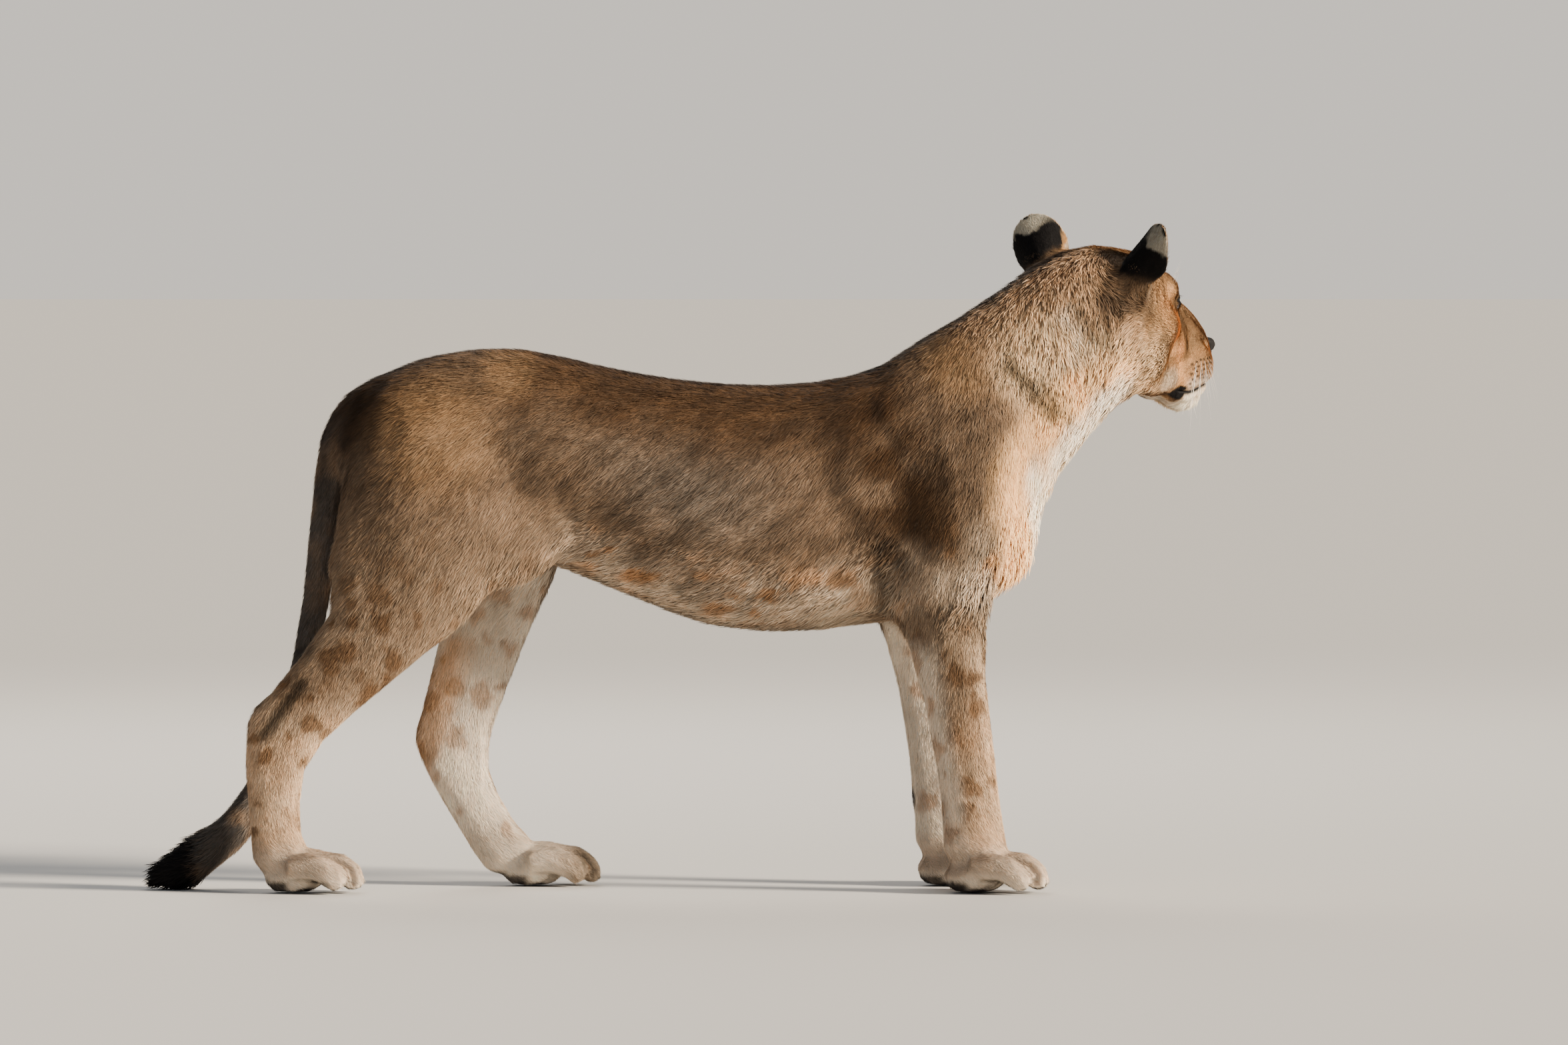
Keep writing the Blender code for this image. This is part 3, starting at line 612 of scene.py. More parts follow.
class Hide:
    """A triangle mesh in arrays, for sculpting."""

    def __init__(self, mesh: bpy.types.Mesh) -> None:
        """Reads a mesh whose faces are all triangles.

        Args:
            mesh: the mesh to read.
        """
        points = np.empty(len(mesh.vertices) * 3, np.float32)
        mesh.vertices.foreach_get("co", points)
        corners = np.empty(len(mesh.loops), np.int32)
        mesh.loops.foreach_get("vertex_index", corners)
        self.points = points.reshape(-1, 3).astype(float)
        self.triangles = corners.reshape(-1, 3)
        pairs = np.sort(np.vstack([self.triangles[:, pair] for pair in ([0, 1], [1, 2], [2, 0])]))
        code = np.unique(pairs[:, 0].astype(np.int64) * len(self.points) + pairs[:, 1])
        self.ends = (code // len(self.points), code % len(self.points))
        count = sum(np.bincount(end, minlength=len(self.points)) for end in self.ends)
        self.count = np.maximum(count, 1)[:, None]

    def around(self, values: Array) -> Array:
        """The mean of each vertex's neighbours.

        Args:
            values: one row for each vertex.

        Returns:
            The means, one row for each vertex.
        """
        first, second = self.ends
        size = len(self.points)
        sums = [
            np.bincount(first, column[second], size) + np.bincount(second, column[first], size)
            for column in values.T
        ]
        return np.stack(sums, 1) / self.count

    def spread(self, values: Array, rounds: int) -> Array:
        """Values blurred over the surface."""
        for _ in range(rounds):
            values = 0.4 * values + 0.6 * self.around(values)
        return values

    def relax(self, weights: Array, rounds: int) -> None:
        """Smooths the points without shrinking: each round steps inwards and then back out."""
        for _ in range(rounds):
            for step in (0.62, -0.64):
                self.points += step * weights[:, None] * (self.around(self.points) - self.points)

    def soften(self, weights: Array, rounds: int) -> None:
        """Smooths the points plainly, which also rounds them off."""
        for _ in range(rounds):
            self.points += 0.5 * weights[:, None] * (self.around(self.points) - self.points)

    def normals(self) -> Array:
        """Vertex normals, weighted by the areas of the faces around them.

        Returns:
            One unit vector for each vertex.
        """
        corners = self.points[self.triangles]
        facing = np.cross(corners[:, 1] - corners[:, 0], corners[:, 2] - corners[:, 0])
        total = np.zeros_like(self.points)
        for corner in range(3):
            for axis in range(3):
                total[:, axis] += np.bincount(self.triangles[:, corner], facing[:, axis], len(self.points))
        return unit(total)


# ---- forms of the body
@dataclass(frozen=True)
class Fold:
    """A crease, or a swelling where its depth is negative, along a line on the side of the body; a crease may
    also carry painted shade in the coat's colour.
    """

    start: tuple[float, float]  # x, z
    end: tuple[float, float]
    reach: float
    depth: float
    side: int = 0  # 0 for both sides
    dark: float = 0.0  # how much painted shade darkens the coat in it

    def mask(self, places: Array, normals: Array) -> Array:
        """How far each point lies in the fold, from 0 to 1, on the surfaces that face sideways.

        Args:
            places: points, from the midline.
            normals: the hide's normals there.

        Returns:
            One share for each point.
        """
        near = strip(places[:, [0, 2]], self.start, self.end, self.reach, 0)
        outward = normals[:, 1] * np.sign(places[:, 1])
        chosen = 1.0 if self.side == 0 else fade(places[:, 1] * self.side, -0.01, 0.01)
        return near * fade(outward, 0.0, 0.45) * chosen


# A fold's dark share is painted shade laid into the coat along the crease.
FOLDS = (
    Fold((0.252, 0.795), (0.244, 0.640), 0.036, 0.013, dark=0.42),  # behind the shoulder blade
    Fold((0.244, 0.640), (0.312, 0.540), 0.030, 0.010, dark=0.36),
    Fold((0.510, 0.832), (0.576, 0.754), 0.025, 0.013, side=-1, dark=0.80),  # under the ruff
    Fold((0.618, 0.915), (0.650, 0.868), 0.013, 0.007, side=-1, dark=0.58),  # gaps between its locks
    Fold((0.645, 0.935), (0.668, 0.862), 0.015, 0.007, side=-1, dark=0.50),
    Fold((0.556, 0.806), (0.604, 0.742), 0.013, 0.005, side=-1, dark=0.40),
    Fold((0.315, 0.550), (0.318, 0.430), 0.020, 0.013, dark=0.60),  # behind the elbow
    Fold((0.325, 0.552), (0.345, 0.520), 0.020, 0.006, dark=0.60),
    Fold((0.300, 0.770), (0.345, 0.690), 0.018, 0.008, dark=0.40),  # folds over the blade
    Fold((0.330, 0.815), (0.300, 0.740), 0.016, 0.005, dark=0.30),
    Fold((0.395, 0.790), (0.410, 0.640), 0.020, 0.006, dark=0.30),
    Fold((0.350, 0.640), (0.372, 0.540), 0.022, 0.006, dark=0.25),
    Fold((0.360, 0.790), (0.450, 0.660), 0.040, -0.008),  # spine of the blade
    Fold((0.360, 0.600), (0.350, 0.540), 0.055, -0.008),  # triceps
    Fold((0.460, 0.660), (0.490, 0.600), 0.040, -0.007),  # point of the shoulder
    Fold((-0.240, 0.725), (-0.232, 0.640), 0.055, 0.016, dark=0.30),  # hollow of the flank
    Fold((-0.252, 0.832), (-0.245, 0.818), 0.040, -0.010),  # hip bone
    Fold((-0.195, 0.555), (-0.250, 0.640), 0.030, -0.009),  # skin of the flank over the thigh
    Fold((-0.475, 0.720), (-0.462, 0.500), 0.035, 0.008, dark=0.15),  # along the hamstrings
    Fold((-0.500, 0.760), (-0.520, 0.700), 0.020, 0.006, dark=0.45),  # beside the tail's root
    Fold((-0.330, 0.650), (-0.300, 0.540), 0.075, -0.010),  # front of the thigh
    Fold((-0.430, 0.640), (-0.400, 0.520), 0.050, -0.006),
    Fold((-0.590, 0.330), (-0.648, 0.252), 0.021, 0.014, side=-1, dark=0.85),  # before the Achilles tendon
    Fold((-0.575, 0.385), (-0.610, 0.372), 0.012, 0.004, side=-1, dark=0.45),
    Fold((-0.338, 0.320), (-0.372, 0.246), 0.016, 0.010, side=1, dark=0.40),
    Fold((-0.338, 0.320), (-0.372, 0.246), 0.013, 0.006, side=-1),
    Fold((0.400, 0.430), (0.425, 0.270), 0.020, 0.005, dark=0.15),  # between the forearm's muscles
    Fold((0.610, 0.925), (0.640, 0.800), 0.020, 0.008, side=-1, dark=0.30),  # behind the cheek
    Fold((0.560, 0.830), (0.610, 0.740), 0.022, 0.005, side=-1, dark=0.20),
    Fold((0.150, 0.560), (0.290, 0.520), 0.060, -0.006),  # chest over the last ribs
)


@dataclass(frozen=True)
class Paw:
    """How one paw's toes lie: about a middle, turned outwards and fanned, at a spacing and up to a reach."""

    middle: tuple[float, float]
    turn: float  # degrees
    spacing: float
    reach: float
    fan: float = 0.070  # how much each next toe swings out, for each unit ahead

    def local(self, body: Array) -> tuple[Array, Array]:
        """How far body places lie ahead of the paw's middle, and to the left of it."""
        turn = math.radians(self.turn)
        off = body[:, :2] - self.middle
        return off @ (math.cos(turn), math.sin(turn)), off @ (-math.sin(turn), math.cos(turn))

    def near(self, ahead: Array, across: Array, up: Array) -> Array:
        """1 over this paw and 0 off it."""
        beside = fade(np.abs(across), 0.085, 0.080)
        return beside * fade(np.abs(ahead - 0.04), 0.115, 0.108) * fade(up, 0.092, 0.076)

    def _off(self, ahead: Array, across: Array, rays: tuple[float, ...]) -> Array:
        """Distance across from the nearest of some rays that fan out with the toes, counted in toes."""
        return np.min([np.abs(across - ray * (self.spacing + self.fan * ahead)) for ray in rays], 0)

    def gaps(self, body: Array) -> Array:
        """1 in the three grooves between the toes, from the knuckles to the tips.

        Args:
            body: places from the midline.

        Returns:
            One share for each place.
        """
        ahead, across = self.local(body)
        off = self._off(ahead, across, (-1, 0, 1))
        along = fade(ahead, self.reach - 0.075, self.reach - 0.040)
        return fade(off, 0.0065, 0.0008) * along * self.near(ahead, across, body[:, 2])

    def claws(self, body: Array) -> Array:
        """1 on the dark slits of the claws' sheaths, low on the front of each toe.

        Args:
            body: places from the midline.

        Returns:
            One share for each place.
        """
        ahead, across = self.local(body)
        off = self._off(ahead, across, (-1.5, -0.5, 0.5, 1.5))
        low = bump(body[:, 2], 0.016, 0.011)
        return fade(off, 0.0052, 0.0022) * low * fade(ahead, self.reach - 0.040, self.reach - 0.026)

    def heel(self, body: Array) -> Array:
        """1 on the bare heel of the main pad."""
        ahead, across = self.local(body)
        low = fade(body[:, 2], 0.025, 0.016)
        return low * fade(ahead, -0.002, -0.016) * self.near(ahead, across, body[:, 2])


PAWS = (
    Paw((0.412, 0.086), 6, 0.028, 0.120),
    Paw((0.452, -0.086), -6, 0.028, 0.120),
    Paw((-0.240, 0.084), 4, 0.024, 0.112),
    Paw((-0.606, -0.086), -4, 0.024, 0.112),
)
RIB_SPACING, RIB_HEIGHT = 0.036, 0.0022
# Lines on the side of the body: x, then z, unless they say otherwise.
BACK_LINE = ((-0.57, -0.45, -0.33, -0.20, 0.00, 0.15, 0.30, 0.40, 0.50, 0.62), (
    0.70, 0.828, 0.853, 0.842, 0.800, 0.795, 0.824, 0.888, 0.948, 1.020))
CHEST_EDGE = ((0.44, 0.52, 0.66, 0.74, 0.80, 0.86), (0.505, 0.490, 0.478, 0.520, 0.572, 0.625))  # z, x
BELLY_LINE = ((-0.30, -0.175, -0.05, 0.05, 0.125, 0.30, 0.50), (
    0.520, 0.500, 0.438, 0.407, 0.3975, 0.415, 0.450))
TAIL_BORDER = ((0.40, 0.46, 0.50, 0.60, 0.72), (-0.575, -0.557, -0.544, -0.532, -0.530))  # z, x


@dataclass(frozen=True)
class Line:
    """A soft line on both sides of the face: 1 within its inner distance and 0 beyond its outer one."""

    start: Place
    end: Place
    outer: float
    inner: float = 0.0

    def on(self, flat: Array) -> Array:
        """How far head places, mirrored to her left, lie on the line."""
        return strip(flat, self.start, self.end, self.outer, self.inner)


FACE_FORMS = (  # how high each stands out of the skin
    (0.0050, Line((0.067, 0.038, -0.114), (0.106, 0.025, -0.114), 0.032)),  # whisker pad
    (-0.0035, Line((0.108, 0.033, -0.078), (0.030, 0.037, -0.040), 0.014)),  # between bridge and muzzle
    (0.0030, Line((0.116, 0.014, -0.056), (0.012, 0.017, 0.008), 0.020)),  # bridge
    (-0.0040, Line((0.007, 0.029, -0.004), (-0.011, 0.025, 0.026), 0.018)),  # beside the bridge's root
    (-0.0022, Line((0.014, 0.038, -0.010), (0.034, 0.042, -0.052), 0.010)),  # tear groove
    (0.0088, Line((0.010, 0.036, 0.022), (-0.026, 0.066, 0.022), 0.021)),  # brow
    (0.0040, Line((-0.014, 0.064, -0.034), (-0.067, 0.090, -0.036), 0.030)),  # cheek bone
    (-0.0035, Line((0.026, 0.048, -0.104), (-0.020, 0.072, -0.096), 0.026)),  # between muzzle and cheek
)


class Lids:
    """The almond opening between an eye's lids, and the skin that is drawn over the eyeball to it."""

    half_width: float = 0.0150
    upper: float = 0.0060
    lower: float = 0.0062
    power: float = 1.45  # of the opening's outline: 1 for a diamond, 2 for an ellipse
    margin: float = 0.0012  # the lid stands this far off the eyeball
    reach: float = 0.033  # from the line of sight, of the skin that is drawn
    sectors: int = 24  # in which the socket's rim is found
    tilt: float = 12  # degrees, by which the inner corner lies lower

    def __init__(self, anatomy: Anatomy, side: Side) -> None:
        """Takes the eye's place from the frame, with axes along its sight, across outwards and up.

        Args:
            anatomy: where things are on the animal.
            side: which eye.
        """
        self.side = side
        self.centre, self.sight, self.radius = anatomy.eye(side)
        tilt = math.radians(self.tilt)
        outward = unit(np.cross(self.sight, (0, 0, 1.0)) * -side.value)
        up = np.cross(outward, self.sight) * side.value
        up = up if up[2] > 0 else -up
        self.across = outward * math.cos(tilt) + up * math.sin(tilt)
        self.up = up * math.cos(tilt) - outward * math.sin(tilt)

    def _polar(self, places: Array) -> tuple[Array, Array, Array]:
        """Distance from the line of sight, way round it, and distance ahead of the eyeball's centre."""
        off = places - self.centre
        across, high = off @ self.across, off @ self.up
        return np.maximum(np.hypot(across, high), 1e-9), np.arctan2(high, across), off @ self.sight

    def _edge(self, turn: Array) -> Array:
        """Distance of the lids' edge from the line of sight, each way round it: a superellipse."""
        tall = np.where(turn > 0, self.upper, self.lower)
        wide, high = np.abs(np.cos(turn) / self.half_width), np.abs(np.sin(turn) / tall)
        return (wide**self.power + high**self.power) ** (-1 / self.power)

    def opening(self, places: Array) -> tuple[Array, Array]:
        """How open the lids are at head places.

        Args:
            places: points in the head's axes.

        Returns:
            Signed distance inside the opening, below 0 outside it, and distance from the centre.
        """
        off, turn, ahead = self._polar(places)
        return np.where(ahead > 0, self._edge(turn) - off, -1.0), np.hypot(off, ahead)

    def _rim(self, off: Array, turn: Array, ahead: Array, outer: Array) -> tuple[Array, Array]:
        """The socket's rim each way round the line of sight: the nearest points of the outer skin.

        Args:
            off: distance from the line of sight.
            turn: way round it.
            ahead: distance along it.
            outer: whether a point is on the outer skin.

        Returns:
            The rim's distance and its angle from the sight, the way round that each point lies.
        """
        ways = (np.arange(self.sectors) + 0.5) / self.sectors * math.tau - math.pi
        sector = np.minimum(((turn + math.pi) / math.tau * self.sectors).astype(int), self.sectors - 1)
        rims, angles = np.full(self.sectors, np.nan), np.full(self.sectors, np.nan)
        for index in range(self.sectors):
            found = np.nonzero(outer & (sector == index))[0]
            if len(found):
                first = found[np.argmin(off[found])]
                rims[index], angles[index] = off[first], math.atan2(off[first], ahead[first])
        known = ~np.isnan(rims)
        ways, rims, angles = ways[known], rims[known], angles[known]
        return np.interp(turn, ways, rims, period=math.tau), np.interp(turn, ways, angles, period=math.tau)

    def press(self, places: Array, normals: Array) -> Array:
        """Draws the skin over the eyeball.

        The outer skin from the socket's rim outwards is stretched to start at the lids' edge, on the
        eyeball; the socket's wall follows it inwards, and then stays inside the eyeball.

        Args:
            places: points in the head's axes.
            normals: their normals there.

        Returns:
            The moved points.
        """
        off, turn, ahead = self._polar(places)
        far = np.hypot(off, ahead)
        facing = np.sum((places - self.centre) * normals, 1) / np.maximum(far, 1e-9)
        near = (far < 0.045) & (off < self.reach) & ((ahead > -0.02) | (far < self.radius + 0.004))
        rim, rim_angle = self._rim(off, turn, ahead, near & (facing > 0.05) & (ahead > -0.016))
        rim = np.minimum(rim, self.reach - 0.006)
        edge = self._edge(turn)
        lid = self.radius + self.margin
        drawn = np.maximum(edge + (off - rim) * (self.reach - edge) / (self.reach - rim), edge)
        ball = np.sqrt(np.maximum(lid**2 - drawn**2, (0.45 * self.radius) ** 2))
        pull = fade(off, self.reach, self.radius)
        level = ahead + (np.maximum(ball, ahead) - ahead) * pull
        angle = np.arctan2(off, ahead)
        open_angle = np.arcsin(np.clip(edge / lid, 0, 1))
        past = np.maximum(angle - rim_angle, 0)
        swept = open_angle + past * (math.pi - open_angle) / (math.pi - rim_angle)
        deep = lid - 0.22 * self.radius * fade(past, 0.03, 0.22)
        wall = fade(facing, -0.05, -0.50)
        across = drawn + (deep * np.sin(swept) - drawn) * wall
        level = level + (deep * np.cos(swept) - level) * wall
        around = np.cos(turn)[:, None] * self.across + np.sin(turn)[:, None] * self.up
        moved = self.centre + around * across[:, None] + level[:, None] * self.sight
        return np.where(near[:, None], moved, places)


@dataclass
class Face:
    """What the skin adds to the head: lids, lips, nostril wings, brow and muzzle."""

    anatomy: Anatomy
    mouth_up: float = -0.142
    mouth_corner: float = 0.022
    lids: list[Lids] = field(init=False)

    def __post_init__(self) -> None:
        """Makes the lids of both eyes."""
        self.lids = [Lids(self.anatomy, side) for side in Side]

    def lip_line(self, head: Array) -> Array:
        """Height above the line where the lips meet, which rises a little under the nose."""
        rise = 0.008 * bump(head[:, 1], 0, 0.024)
        droop = -0.006 * bump(head[:, 0], 0.056, 0.045)
        return head[:, 2] - self.mouth_up - rise - droop

    def lip_share(self, head: Array) -> Array:
        """1 along the mouth's length, fading at its corners."""
        return fade(head[:, 0], self.mouth_corner - 0.006, self.mouth_corner + 0.010)

    def sculpted(self, head: Array, normals: Array) -> Array:
        """Head places after the face's forms are pressed in.

        Args:
            head: skin points in the head's axes.
            normals: their normals there.

        Returns:
            The moved points.
        """
        flat = mirrored(head)
        lip = self.lip_share(head)
        above = self.lip_line(head)
        push = -0.0042 * lip * bump(above, 0, 0.0038)  # between the lips
        push += 0.0035 * lip * bump(above, 0.013, 0.013)  # the upper lip hangs over
        push += 0.0020 * lip * bump(above, -0.010, 0.008)
        philtrum = fade(head[:, 0], 0.095, 0.118) * bump(head[:, 1], 0, 0.0042)
        push -= 0.0035 * philtrum * fade(head[:, 2], -0.090, -0.104) * fade(above, -0.002, 0.003)
        furrow = bump(head[:, 1], 0, 0.011) * fade(head[:, 0], 0.015, -0.02) * fade(head[:, 2], 0.02, 0.06)
        push -= 0.0020 * furrow
        push += sum(height * line.on(flat) for height, line in FACE_FORMS)
        moved = head + normals * push[:, None]
        for lids in self.lids:
            moved = lids.press(moved, normals)
        return moved

    def bare(self, head: Array) -> Array:
        """1 where no hair grows: the lid margins, inside the eyes, the lips and under the nose leather.

        Args:
            head: places in the head's axes.

        Returns:
            One share for each place.
        """
        share = self.lip_share(head) * fade(np.abs(self.lip_line(head)), 0.0034, 0.0018)
        for lids in self.lids:
            inside, far = lids.opening(head)
            share = np.maximum(share, fade(inside, -0.0022, -0.0008) * fade(far, 0.026, 0.022))
        return share


class Skin:
    """One hide over all the flesh of the frame, with its detail."""

    voxel: float = 0.0034
    overlap: float = 0.0006  # how far each solid swells so that the thin cuts close
    triangles: int = 88000  # before the face is refined
    lowest: float = 0.0004  # of the soles' skin
    toe_groove: float = 0.0080
    haunch_out: float = 0.0160  # how far the hide stays out where the tail lies close behind
    tail_out: float = 0.0060  # the same on the tail itself
    tail_bare: float = 0.0075  # how much less the tail's hide sinks below its hair
    bare_nodes: tuple[str, ...] = ("eye_left", "eye_right", "nose")

    def __init__(self, frame: dict, anatomy: Anatomy) -> None:
        """Builds the hide in arrays, from the frame's nodes of flesh.

        Args:
            frame: the frame's objects.
            anatomy: where things are on the animal.
        """
        self.anatomy = anatomy
        self.face = Face(anatomy)
        self.flesh = sorted(set(frame["nodes"]) - set(self.bare_nodes))
        self.frame = frame
        whole = self._fused()
        hide = Hide(self._applied(whole).data)
        self._unfacet(hide)
        self._thin(whole, hide)
        self._refine(whole)
        self.hide = Hide(whole.data)
        bpy.data.objects.remove(whole)
        self.owner, self.outside = self._owners()
        self.ear = self.on("ear", 2)
        self._sculpt()

    def _fused(self) -> Object:
        """The flesh nodes, swollen to overlap and joined, under a voxel remesh.

        Returns:
            The joined object, with its modifiers still live.
        """
        form = bmesh.new()
        for name in self.flesh:
            part = bmesh.new()
            part.from_mesh(self.frame["nodes"][name].data)
            bmesh.ops.remove_doubles(part, verts=part.verts, dist=1e-6)
            part.normal_update()
            for vert in part.verts:
                vert.co += vert.normal * self.overlap
            copy = bpy.data.meshes.new("swollen")
            part.to_mesh(copy)
            part.free()
            form.from_mesh(copy)
            bpy.data.meshes.remove(copy)
        mesh = bpy.data.meshes.new("fused")
        form.to_mesh(mesh)
        form.free()
        whole = bpy.data.objects.new("fused", mesh)
        bpy.context.scene.collection.objects.link(whole)
        remesh = whole.modifiers.new("Fuse", "REMESH")
        remesh.mode, remesh.voxel_size = "VOXEL", self.voxel
        whole.modifiers.new("Triangles", "TRIANGULATE")
        return whole

    @staticmethod
    def _applied(obj: Object) -> Object:
        """The object with its modifiers made part of its mesh.

        Args:
            obj: an object with modifiers.

        Returns:
            The same object.
        """
        graph = bpy.context.evaluated_depsgraph_get()
        mesh = bpy.data.meshes.new_from_object(obj.evaluated_get(graph))
        obj.modifiers.clear()
        obj.data = mesh
        return obj

    def _detail(self, points: Array) -> Array:
        """1 where the surface has fine forms: the face, the ears and the feet.

        Args:
            points: places in the frame.

        Returns:
            One share for each point.
        """
        head = self.anatomy.head(points)
        face = fade(np.linalg.norm(head - (0.055, 0, -0.07), axis=1), 0.21, 0.13)
        ears = fade(head[:, 2], 0.05, 0.08) * fade(head[:, 0], -0.22, -0.18)
        ears = ears * fade(np.abs(head[:, 1]), 0.06, 0.08)
        feet = fade(points[:, 2], 0.12, 0.06)
        return np.maximum.reduce([face, ears, feet])

    def _unfacet(self, hide: Hide) -> None:
        """Smooths the solids' broad facets away, least where the forms are fine.

        Args:
            hide: the hide, which it changes.
        """
        detail = self._detail(hide.points)
        tail = self._tail_zone(self.anatomy.body(hide.points))
        hide.relax(1 - np.maximum(0.75 * detail, 0.90 * tail), 40)
        hide.soften(1 - np.maximum(detail, 0.8 * tail), 5)
        hide.soften(detail, 1)

    @staticmethod
    def _tail_zone(body: Array) -> Array:
        """1 on the thin hanging tail, behind the haunches."""
        x, y, z = body.T
        return fade(np.abs(y), 0.064, 0.054) * fade(x, -0.515, -0.530) * fade(z, 0.76, 0.72)

    def _thin(self, whole: Object, hide: Hide) -> None:
        """Writes the smoothed points back and takes faces away, fewest from the head and feet.

        Args:
            whole: the joined object, which it changes.
            hide: the same in arrays, smoothed.
        """
        whole.data.vertices.foreach_set("co", hide.points.astype(np.float32).ravel())
        weights = 1 - 0.8 * self._detail(hide.points)
        group = whole.vertex_groups.new(name="coarse")
        for level in range(1, 11):
            chosen = np.nonzero(np.round(weights * 10) == level)[0]
            group.add(chosen.tolist(), level / 10, "REPLACE")
        fewer = whole.modifiers.new("Fewer", "DECIMATE")
        fewer.ratio = self.triangles / len(hide.triangles)
        fewer.vertex_group, fewer.vertex_group_factor = "coarse", 0.6
        fewer.use_collapse_triangulate = True
        self._applied(whole)

    def _refine(self, whole: Object) -> None:
        """Splits the faces of the muzzle once, and those round the eyes and mouth again.

        Args:
            whole: the joined object, which it changes.
        """
        form = bmesh.new()
        form.from_mesh(whole.data)
        for fine in (False, True):
            places = self.anatomy.head(np.array([edge.verts[0].co for edge in form.edges]))
            chosen = self._fine_zone(places) if fine else self._face_zone(places)
            edges = [edge for edge, take in zip(form.edges, chosen) if take]
            bmesh.ops.subdivide_edges(form, edges=edges, cuts=1, use_grid_fill=True)
            bmesh.ops.triangulate(form, faces=form.faces)
        form.to_mesh(whole.data)
        form.free()

    def _face_zone(self, head: Array) -> Array:
        """Whether head places lie on the face's front."""
        return np.linalg.norm(head - (0.075, 0, -0.07), axis=1) < 0.130

    def _fine_zone(self, head: Array) -> Array:
        """Whether head places lie round an eye, on the mouth's line or at the nose.

        Args:
            head: places in the head's axes.

        Returns:
            One truth for each place.
        """
        zone = (np.abs(self.face.lip_line(head)) < 0.010) & (head[:, 0] > self.face.mouth_corner - 0.006)
        zone |= np.linalg.norm(head - (0.132, 0, -0.095), axis=1) < 0.030
        for lids in self.face.lids:
            zone |= np.linalg.norm(head - lids.centre, axis=1) < 0.028
        return zone

    def _sculpt(self) -> None:
        """Presses the folds and the face in, and sinks the hide below the tips of its coat."""
        hide = self.hide
        head = self.anatomy.head(hide.points)
        near = self._face_zone(head).astype(float)
        hide.soften(near, 2)
        normals = hide.normals()
        body = self.anatomy.body(hide.points)
        sink = sum(fold.depth * fold.mask(body, normals) for fold in FOLDS)
        sink += self.toe_groove * sum(paw.gaps(body) for paw in PAWS)
        sink -= RIB_HEIGHT * self._ribs(body)
        length = lengths(self.anatomy, hide.points, normals, self.ear)
        depth = hide.spread(coat_depth(length)[:, None], 12)[:, 0]
        proud = hide.spread(np.clip(self.outside, -0.012, 0.006)[:, None], 8)[:, 0]
        depth += proud * (1 - 0.7 * self._detail(hide.points))
        tail, cleft = self.on("tail", 3), self._cleft(body)
        depth = (depth - self.tail_bare * tail) * (1 - 0.9 * cleft)
        sink = sink - (self.haunch_out - (self.haunch_out - self.tail_out) * tail) * cleft
        hide.points = hide.points - normals * (sink + depth + self.overlap)[:, None]
        hide.points[:, 2] = np.maximum(hide.points[:, 2], self.lowest)
        hide.soften(1 - self._detail(hide.points), 2)
        head = self.anatomy.head(hide.points)
        chosen = np.linalg.norm(head, axis=1) < 0.30
        normals = hide.normals() @ self.anatomy.head_axes
        head[chosen] = self.face.sculpted(head[chosen], normals[chosen])
        hide.points[chosen] = self.anatomy.from_head(head[chosen])

    @staticmethod
    def _ribs(body: Array) -> Array:
        """A wave from -1 to 1 that slants along the ribs, and 0 off them."""
        x, _, z = body.T
        flank = bump(z, 0.60, 0.13) * fade(x, -0.06, 0.02) * fade(x, 0.26, 0.20)
        return flank * np.sin((x + 0.35 * (z - 0.6)) * math.tau / RIB_SPACING)

    @staticmethod
    def _cleft(body: Array) -> Array:
        """1 where the tail lies close behind the haunches, and the hide stays out so that no gap opens."""
        x, y, z = body.T
        near = fade(np.abs(x - np.interp(z, *TAIL_BORDER)), 0.026, 0.014) * fade(np.abs(y), 0.16, 0.14)
        return near * fade(z, 0.37, 0.42) * fade(z, 0.76, 0.72)

    def _owners(self) -> tuple[Array, Array]:
        """The index in self.flesh of the solid nearest to each point of the hide, and how far out it lies.

        Returns:
            The indices and the distances.
        """
        points, triangles, owner = [], [], []
        for index, name in enumerate(self.flesh):
            mesh = self.frame["nodes"][name].data
            base = sum(len(block) for block in points)
            points.append(np.array([vert.co for vert in mesh.vertices]))
            faces = np.array([face.vertices for face in mesh.polygons]) + base
            triangles.append(faces)
            owner.append(np.full(len(faces), index))
        tree = BVHTree.FromPolygons(np.vstack(points).tolist(), np.vstack(triangles).tolist())
        found = [tree.find_nearest(point) for point in self.hide.points.tolist()]
        off = self.hide.points - np.array([place for place, _, _, _ in found])
        return np.concatenate(owner)[[face for _, _, face, _ in found]], np.sum(off * self.hide.normals(), 1)

    def on(self, start: str, rounds: int) -> Array:
        """1 where the hide belongs to solids whose names start so, blurred a little at the edges."""
        wanted = [index for index, name in enumerate(self.flesh) if name.startswith(start)]
        share = np.isin(self.owner, wanted).astype(float)
        return self.hide.spread(share[:, None], rounds)[:, 0]

    def build(self, colours: Array) -> Object:
        """The skin as a piece of the scene, dressed with its markings.

        Args:
            colours: one for each point of the hide.

        Returns:
            The piece.
        """
        skin = piece_from("skin", self.hide.points, [self.hide.triangles], SkinFinish().material())
        give_tint(skin, colours)
        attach(skin, "root")
        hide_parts(*self.flesh)
        return skin


